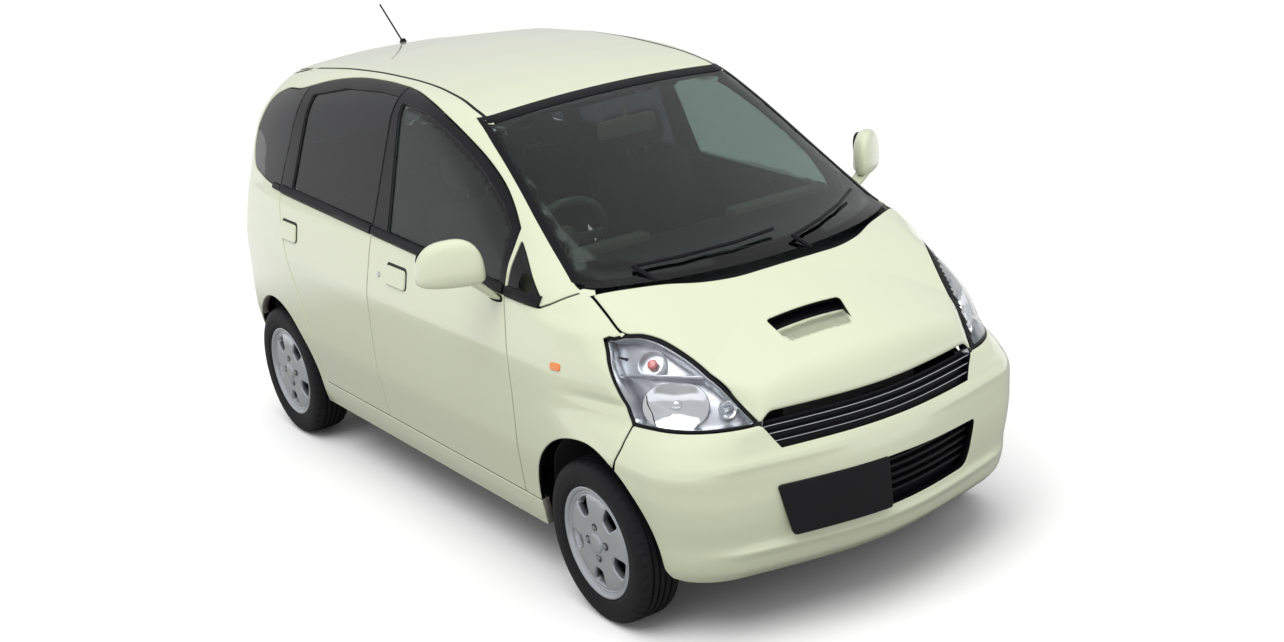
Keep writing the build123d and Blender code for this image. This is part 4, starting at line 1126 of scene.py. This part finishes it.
# handles, locks and mirrors
handleLook = {"front": {"x": -85, "z": 896, "w": 148}, "rear": {"x": -1020, "z": 902, "w": 140}}
for end, at in handleLook.items():
    flap = roundPanel(**at, h=70, r=17, deep=-8, thick=12, roll=6)
    cup = roundPanel(at["x"] + 3, at["z"] + 5, at["w"], h=74, r=19, deep=-1.2, thick=4, roll=1.0, grow=3)
    for side, turned in sides:
        body = f"{end}_door_{side}"
        piece(f"handle_{end}_{side}", turned(flap), [paint, trimBlack], body)
        piece(f"handleCup_{end}_{side}", turned(cup), [trimBlack, trimBlack], body)
lockAt, lockWay = atDepth((-223, -730, 884), -1.5)
lock = latheData([(0, -5), (10, -5), (10, 1), (8.5, 2.4), (0, 2.4)], lockAt, lockWay, 24)
piece("keyLockRight", lock, [silverTrim], "front_door_right")
piece("keyLockLeft", flip(lock), [silverTrim], "front_door_left")

mirrorLook = {"inner": 756.0, "outer": 938.0, "foot": 1034.0, "height": 164.0, "front": 716.0, "sweep": 112.0,
              "depth": 46.0}


def mirrorMiddle(t):
    # how far forward the housing's middle is, from its inner end at 0 to its outer end at 1
    return mirrorLook["front"] - 50 - mirrorLook["sweep"] * t ** 1.25


rings = []
for t in 0.5 - 0.5 * np.cos(np.linspace(0.12, math.pi - 0.12, 19)):
    swell = (1 - abs(2 * t - 1) ** 3.2) ** 0.42
    top = mirrorLook["height"] * (1 - 0.20 * t * t - 0.06 * (1 - t) ** 2)
    half = top / 2 * swell
    deep = mirrorLook["depth"] * swell * (1 - 0.18 * t)
    y = -(mirrorLook["inner"] + (mirrorLook["outer"] - mirrorLook["inner"]) * t)
    middle = (mirrorMiddle(t), y, mirrorLook["foot"] + half + (1 - swell) * 24)
    rings.append(eggRing(middle, (deep, 0, 0), (0, 0, half), 2.9, 40))
shellMirror = loftData(rings)
stalkRings = (((624, -706, 966), 33, 12), ((628, -720, 976), 32, 15), ((637, -746, 1002), 31, 17),
              ((646, -774, 1028), 30, 19), ((648, -792, 1044), 30, 20))
stalk = loftData([eggRing(c, (w, 0, 0), (0, d, 0), 3, 20) for c, w, d in stalkRings])
footRings = (((622, -697, 964), 39), ((622, -705, 966), 39), ((622, -709, 967), 36))
stalkFoot = loftData([eggRing(c, (w, 0, 0), (0, 3, 12), 3, 20) for c, w in footRings])


def faceShape(uv):
    # back face of the mirror's housing
    uv = np.asarray(uv, float)
    t = (-uv[:, 0] - mirrorLook["inner"]) / (mirrorLook["outer"] - mirrorLook["inner"])
    x = mirrorMiddle(np.clip(t, 0.01, 1)) - mirrorLook["depth"] * (1 - 0.18 * t) - 1.0
    n = np.stack([-np.ones(len(uv)), -0.62 + 0 * x, 0 * x], 1)
    return np.stack([x, uv[:, 0], uv[:, 1]], 1), n / np.linalg.norm(n, axis=1, keepdims=True)


faceLoop = np.array(rounded([(-790, 1052, 16), (-916, 1052, 24), (-912, 1150, 34), (-800, 1176, 34)], 20, 8))
mirrorFace = panelData("rear", faceLoop, thick=3, roll=1.5, size=14, gap=0, deep=-1.5, shape=faceShape)
bezelLoop = inset(leftward(faceLoop), -8)
bezel = panelData("rear", bezelLoop, thick=6, roll=1.5, size=14, gap=0, deep=0.5, shape=faceShape)
for side, turned in sides:
    body = f"front_door_{side}"
    piece(f"mirrorShell_{side}", turned(joined(shellMirror, stalk)), [paint], body,
          [f"mirror_{side}"])
    piece(f"mirrorBezel_{side}", turned(joined(bezel, stalkFoot)), [trimBlack, trimBlack], body)
    piece(f"mirrorFace_{side}", turned(mirrorFace), [mirrorGlass, trimBlack], body)
print("lamps and mirrors made", flush=True)

# wheels
wheelLook = {"holes": 5, "firstHole": -23.0, "nuts": 4, "firstNut": 4.0, "nutCircle": 50.0, "blocks": 44,
             "slotDepth": 4.0}
rimFace = smoothTable([(0, 67), (34, 67), (62, 65), (112, 66), (140, 63), (160, 57)])


def rimShape(uv):
    uv = np.asarray(uv, float)
    r = np.hypot(uv[:, 0], uv[:, 1])
    slope = (rimFace(r + 1) - rimFace(r - 1)) / 2
    k = slope / np.clip(r, 1, None)
    n = np.stack([-k * uv[:, 0], -np.ones(len(uv)), -k * uv[:, 1]], 1)
    return (np.stack([uv[:, 0], -wheelPlace["y"] - rimFace(r), uv[:, 1]], 1),
            n / np.linalg.norm(n, axis=1, keepdims=True))


def ringLoop(radius, count=72):
    turn = np.arange(count) * 2 * math.pi / count
    return np.stack([radius * np.cos(turn), radius * np.sin(turn)], 1)


rimHoles = []
for i in range(wheelLook["holes"]):
    turn = math.radians(wheelLook["firstHole"] + 360 / wheelLook["holes"] * i)
    c, s = math.cos(turn), math.sin(turn)
    shapeHole = rounded([(91, -21, 14), (148, -38, 22), (152, 0, 60), (148, 38, 22), (91, 21, 14)], 16, 6)
    rimHoles.append(np.array([(a * c - b * s, a * s + b * c) for a, b in shapeHole]))
spider = panelData("front", ringLoop(159), rimHoles, thick=24, roll=5, size=9, gap=0, shape=rimShape)
hubAt, outward = (0.0, -wheelPlace["y"], 0.0), (0.0, -1.0, 0.0)
barrel = latheData(rounded([(154, 30), (156, 56), (161, 60), (165, 58), (168, 60), (170, 66), (178, 70),
                            (182.5, 69), (183, 62), (176, 57), (171, 40), (160, 18), (158, -40), (171, -60),
                            (183, -62), (183, -69), (176, -71), (165, -64), (150, -44), (148, 20)], 1.6, 2),
                   hubAt, outward, 96)
cap = latheData([(0, 60), (33, 60), (33.5, 68), (31, 72), (26, 73.5), (0, 74.5)], hubAt, outward, 60)
ringOfNuts = {"count": wheelLook["nuts"], "radius": wheelLook["nutCircle"], "start": wheelLook["firstNut"]}
nut = latheData([(0, 58), (9, 58), (9, 69), (6, 72.5), (0, 73)], hubAt, outward, 6)
nuts = repeated(nut, castMetal, **ringOfNuts)
cup = latheData([(10.5, 62), (10.5, 66.6), (13.5, 66.6), (13.5, 62)], hubAt, outward, 24)
cups = repeated(cup, trimBlack, **ringOfNuts)
backing = latheData([(0, 26), (146, 26), (146, 30), (0, 30)], hubAt, outward, 60)


def treadCut(r, s, i):
    # slots across the shoulders of the tread
    slot = (i % 5 == 0) & (44 < abs(s) < 69) & (r > 250)
    return np.where(slot, -wheelLook["slotDepth"], 0.0)


halfTyre = [(178, 60), (182, 64), (188, 69), (196, 72.6), (199, 74.6), (202, 74.4), (212, 76.6),
            (226, 77.4), (238, 76), (247, 73), (254, 69), (259, 64), (262, 58), (263.8, 51), (264.8, 45),
            (265.3, 38), (265.3, 37.4), (258.5, 36.2), (258.5, 30.4), (265.4, 29.2), (265.5, 20),
            (265.5, 14.8), (258.5, 13.6), (258.5, 7.6), (265.5, 6.4), (265.5, 0)]
tyreSection = halfTyre + [(r, -s) for r, s in halfTyre[-2::-1]] + [(174, -58), (174, 58)]
tyre = latheData(tyreSection, hubAt, outward, 5 * wheelLook["blocks"], treadCut)


def moved(data, offset):
    return data[0] + np.array(offset, float), data[1], data[2], data[3]


for end in ("front", "rear"):
    for side, turned in sides:
        body = f"{end}_wheel_{side}"
        at = (wheelPlace[f"{end}X"], 0, wheelPlace["radius"])
        piece(f"rim_{end}_{side}_spider", turned(moved(joined(spider, barrel, cap), at)), [alloy, alloy],
              body, [f"rim_{end}_{side}"])
        piece(f"rim_{end}_{side}_nuts", turned(moved(nuts, at)), [castMetal], body)
        piece(f"rim_{end}_{side}_cups", turned(moved(joined(backing, cups), at)), [trimBlack], body)
        piece(f"tyre_{end}_{side}_tread", turned(moved(tyre, at)), [tyreRubber], body,
              [f"tyre_{end}_{side}"])
print("wheels made", flush=True)

# cabin
seatLook = {"voxel": 0.0104, "pressure": 4.0, "swell": 0.012, "frames": 20}


def inflated(name, data):
    # pad: the shape remeshed, blown up as cloth and smoothed once
    ob = makeMesh(name, data[0], data[1], [cloth])
    remesh = ob.modifiers.new("remesh", "REMESH")
    remesh.mode = "VOXEL"
    remesh.voxel_size = seatLook["voxel"]
    flat = asMesh(ob, remesh)
    ob.data = flat
    start = np.array([v.co[:] for v in flat.vertices])
    sim = ob.modifiers.new("cloth", "CLOTH")
    sim.settings.use_pressure = True
    sim.settings.uniform_pressure_force = seatLook["pressure"]
    sim.settings.effector_weights.gravity = 0
    for f in range(1, seatLook["frames"] + 1):
        bpy.context.scene.frame_set(f)
    end = np.array([v.co[:] for v in asMesh(ob, sim).vertices])
    bpy.context.scene.frame_set(1)
    move = end - start
    size = np.linalg.norm(move, axis=1, keepdims=True)
    start = start + move * np.minimum(1, seatLook["swell"] / np.maximum(size, 1e-9))
    flat.vertices.foreach_set("co", start.ravel())
    smooth = ob.modifiers.new("smooth", "SUBSURF")
    smooth.levels = smooth.render_levels = 1
    done = asMesh(ob, smooth)
    bpy.data.objects.remove(ob)
    return solid(*readBack(done))


def padPiece(name, data, node):
    ob = piece(name, data, [cloth], "root", [node])


def slabData(side, half, r, shrink):
    # cushion-like block about the middle: a side outline whose two ends are drawn in
    loop = leftward(rounded(side, r, 5))
    ends = [(half, 22), (half - 6, 10), (half - 20, 2), (half - 42, 0)]
    places = [(-y, d) for y, d in ends] + [(0, -2)] + ends[::-1]
    return loftData([[(x, y, z) for x, z in inset(loop, d + shrink)] for y, d in places])


padShapes = {
    "seatPad": {"side": [(30, 345, 40), (470, 352, 40), (500, 540, 60), (470, 590, 60), (80, 560, 60)],
                "half": 226, "r": 40, "shrink": 13},
    "seatBack": {"side": [(84, 566, 30), (40, 712, 60), (-62, 1116, 40), (-128, 1126, 40), (-148, 1060, 40),
                          (-58, 575, 40)], "half": 226, "r": 30, "shrink": 11},
    "headPad": {"side": [(-78, 1140, 30), (-72, 1160, 30), (-90, 1268, 30), (-163, 1272, 30),
                         (-156, 1142, 30)], "half": 122, "r": 24, "shrink": 5},
    "benchPad": {"side": [(-340, 452, 30), (-330, 560, 50), (-366, 590, 50), (-780, 556, 30),
                          (-790, 452, 30)], "half": 258, "r": 40, "shrink": 13},
    "benchBack": {"side": [(-772, 560, 30), (-800, 650, 40), (-858, 1056, 30), (-876, 1066, 30),
                           (-884, 560, 30)], "half": 258, "r": 30, "shrink": 8},
}
padPlaces = {
    "seatPad": ("seatPad", (0, -340, 0), "front_seats"),
    "seatBack": ("seatBack", (0, -340, 0), "front_seats"),
    "seatHead": ("headPad", (0, -340, 0), "front_seats"),
    "benchPad": ("benchPad", (0, -266, 0), "rear_seat"),
    "benchBack": ("benchBack", (0, -266, 0), "rear_seat"),
    "benchHead": ("headPad", (-710, -280, -72), "rear_seat"),
}
pads = {name: inflated(name, slabData(**shape)) for name, shape in padShapes.items()}
for side, turned in sides:
    for name, (pad, offset, node) in padPlaces.items():
        padPiece(f"{name}_{side}", turned(moved(pads[pad], offset)), node)
posts = [rodData([(-116, y, 1100), (-118, y, 1170)], 5) for y in (-380, -300)]
posts += [rodData([(-828, y, 1030), (-830, y, 1110)], 5) for y in (-320, -240)]
piece("headPosts", both(joined(*posts)), [castMetal], "root")
seatFoot = joined(boxData((70, -530, 236), (430, -150, 332), 12),
                  boxData((-780, -520, 432), (-360, -12, 456), 8))
piece("seatFeet", both(seatFoot), [cabinDark], "root")

dashRing = rounded([(984, 650, 10), (984, 980, 30), (930, 998, 60), (770, 1018, 60), (690, 1040, 20),
                    (652, 1034, 14), (660, 925, 30), (646, 770, 40), (724, 650, 20)], 30, 4)
dashEnds = ((-586, 14), (-580, 4), (-570, 0), (-300, 0), (0, 0), (300, 0), (570, 0), (580, 4), (586, 14))
dash = loftData([[(x, y, z) for x, z in inset(leftward(dashRing), d)] for y, d in dashEnds])
hoodRings = ((690, 120, 30, 994), (700, 132, 38, 998), (760, 130, 36, 1000), (820, 110, 20, 996))
hood = loftData([eggRing((x, -330, z), (0, w, 0), (0, 0, h), 3, 32) for x, w, h, z in hoodRings])
column = rodData([(760, -330, 865), (520, -330, 977)], 34, 24)
piece("dash", joined(dash, hood, column), [cabinDark], "root", ["dashboard"])
dashPanels = joined(boxData((640, 150, 860), (668, 520, 940), 8),
                    boxData((642, -60, 700), (664, 120, 960), 8),
                    boxData((646, -436, 1020), (704, -150, 1060), 8),
                    boxData((646, 188, 1020), (704, 586, 1056), 8))
piece("dashPanels", dashPanels, [plasticGrey], "root")
roomRings = ((-124, 5, 20), (-118, 9, 29), (-100, 10, 32), (-10, 11, 33), (80, 10, 32), (98, 9, 29),
             (104, 5, 20))
roomGlass = loftData([eggRing((398, y, 1350), (w, 0, 0), (0, 0, h), 3.4, 32) for y, w, h in roomRings])
piece("roomMirror", joined(roomGlass, rodData([(402, -10, 1372), (384, -10, 1424)], 8)), [plasticGrey],
      "root", ["room_mirror"])

steerLook = {"at": (423.0, -330.0, 1022.0), "tilt": 25, "radius": 166, "tube": 14, "spokes": (0, 180, 270)}
tilt = math.radians(steerLook["tilt"])
wheelAt = np.array(steerLook["at"])
wheelWay = np.array([-math.cos(tilt), 0, math.sin(tilt)])
wheelUp = np.array([math.sin(tilt), 0, math.cos(tilt)])
tube = [(steerLook["radius"] + steerLook["tube"] * math.cos(t), steerLook["tube"] * math.sin(t))
        for t in np.arange(16) * math.pi / 8]
steer = [latheData(tube, wheelAt, wheelWay, 72),
         latheData([(0, -38), (40, -38), (62, -12), (60, 6), (48, 14), (0, 18)], wheelAt, wheelWay, 40)]
for degrees in steerLook["spokes"]:
    turn = math.radians(degrees)
    way = np.array([0, math.cos(turn), 0]) + wheelUp * math.sin(turn)
    wide = np.cross(way, wheelWay)
    steer.append(loftData([eggRing(wheelAt + way * r - wheelWay * 6, wide * w, wheelWay * 8, 3, 16)
                           for r, w in ((40, 26), (90, 19), (130, 17), (160, 20))]))
piece("steeringWheel", joined(*steer), [plasticGrey], "steering_wheel", ["steering_wheel"])
print("cabin made", flush=True)

# the solid model's own parts that stay in sight
shownNodes = (
    (darkMetal, ("floor_pan", "front_frame", "rear_axle", "fuel_tank", "bulkhead", "knuckle_left",
                 "knuckle_right")),
    (castMetal, ("engine", "exhaust")),
    (trimBlack, ("aerial", "wipers")),
)
for mat, nodes in shownNodes:
    for node in nodes:
        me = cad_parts[node].data
        me.materials.clear()
        me.materials.append(mat.mat)

# stage
stageLook = {"world": 0.66, "floor": (0.97, 0.97, 0.97), "bounce": (0.36, 0.36, 0.34), "reach": 4.0,
             "sun": 1.7, "sunSpread": 50, "sunFrom": (0.20, -0.30, 1.0)}
world = bpy.data.worlds.new("studio")
bpy.context.scene.world = world
world.use_nodes = True
world.node_tree.nodes["Background"].inputs["Color"].default_value = (1, 1, 1, 1)
world.node_tree.nodes["Background"].inputs["Strength"].default_value = stageLook["world"]
# the floor near the car is dim for bounced light, and pale to the camera
floorMat = Mat("floor", Base_Color=stageLook["floor"], Roughness=0.7)
seen = floorMat.node("ShaderNodeLightPath").outputs["Is Camera Ray"]
bounce = floorMat.node("ShaderNodeBsdfDiffuse", {"Color": (*stageLook["bounce"], 1)})
scaled = {"Vector": floorMat.place(), "Scale": 1 / stageLook["reach"]}
nearPlace = floorMat.node("ShaderNodeVectorMath", scaled, operation="SCALE").outputs["Vector"]
near = floorMat.node("ShaderNodeTexGradient", {"Vector": nearPlace}, gradient_type="SPHERICAL")
dim = floorMat.node("ShaderNodeMixShader", {"Fac": Val(floorMat.tree, near.outputs["Fac"]) * 5.0})
floorMat.tree.links.new(floorMat.bsdf.outputs["BSDF"], dim.inputs[1])
floorMat.tree.links.new(bounce.outputs["BSDF"], dim.inputs[2])
pick = floorMat.node("ShaderNodeMixShader", {"Fac": seen})
floorMat.tree.links.new(dim.outputs["Shader"], pick.inputs[1])
floorMat.tree.links.new(floorMat.bsdf.outputs["BSDF"], pick.inputs[2])
floorMat.tree.links.new(pick.outputs["Shader"], floorMat.tree.nodes["Material Output"].inputs["Surface"])
me = bpy.data.meshes.new("floor")
me.from_pydata([(-60, -60, 0), (60, -60, 0), (60, 60, 0), (-60, 60, 0)], [], [(0, 1, 2, 3)])
me.materials.append(floorMat.mat)
floorOb = bpy.data.objects.new("floor", me)
bpy.context.scene.collection.objects.link(floorOb)
sunLamp = bpy.data.lights.new("sun", "SUN")
sunLamp.energy, sunLamp.angle = stageLook["sun"], math.radians(stageLook["sunSpread"])
sunOb = bpy.data.objects.new("sun", sunLamp)
sunOb.rotation_euler = Vector(stageLook["sunFrom"]).to_track_quat("Z", "Y").to_euler()
sunOb.visible_glossy = False
bpy.context.scene.collection.objects.link(sunOb)
bpy.context.scene.view_settings.view_transform = "Standard"
for name, at, aim, size, power in (("key", (2.0, -4.0, 6.0), (0.3, 0, 0.8), 4.0, 60.0),
                                   ("fill", (6.5, 2.5, 4.5), (0.8, 0, 0.8), 3.0, 40.0)):
    lamp = bpy.data.lights.new(name, "AREA")
    lamp.size, lamp.energy = size, power
    ob = bpy.data.objects.new(name, lamp)
    ob.location = at
    ob.rotation_euler = (Vector(aim) - Vector(at)).to_track_quat("-Z", "Y").to_euler()
    ob.visible_glossy = False
    bpy.context.scene.collection.objects.link(ob)

viewLook = {"eye": (5.7425, -3.325, 2.694), "turns": (148.38, 17.98, -6.32), "focalPixels": 1886.76,
            "widePixels": 1284}
yaw, pitch, roll = (math.radians(turn) for turn in viewLook["turns"])
ahead = Vector((math.cos(yaw) * math.cos(pitch), math.sin(yaw) * math.cos(pitch), -math.sin(pitch)))
across = ahead.cross(Vector((0, 0, 1))).normalized()
upward = across.cross(ahead)
camX = across * math.cos(roll) + upward * math.sin(roll)
camY = upward * math.cos(roll) - across * math.sin(roll)
camera = bpy.data.cameras.new("camera")
camera.sensor_width = 36.0
camera.lens = camera.sensor_width * viewLook["focalPixels"] / viewLook["widePixels"]
camOb = bpy.data.objects.new("camera", camera)
camOb.matrix_world = Matrix((camX, camY, -ahead)).transposed().to_4x4()
camOb.location = viewLook["eye"]
bpy.context.scene.collection.objects.link(camOb)
bpy.context.scene.camera = camOb

print("staged", flush=True)
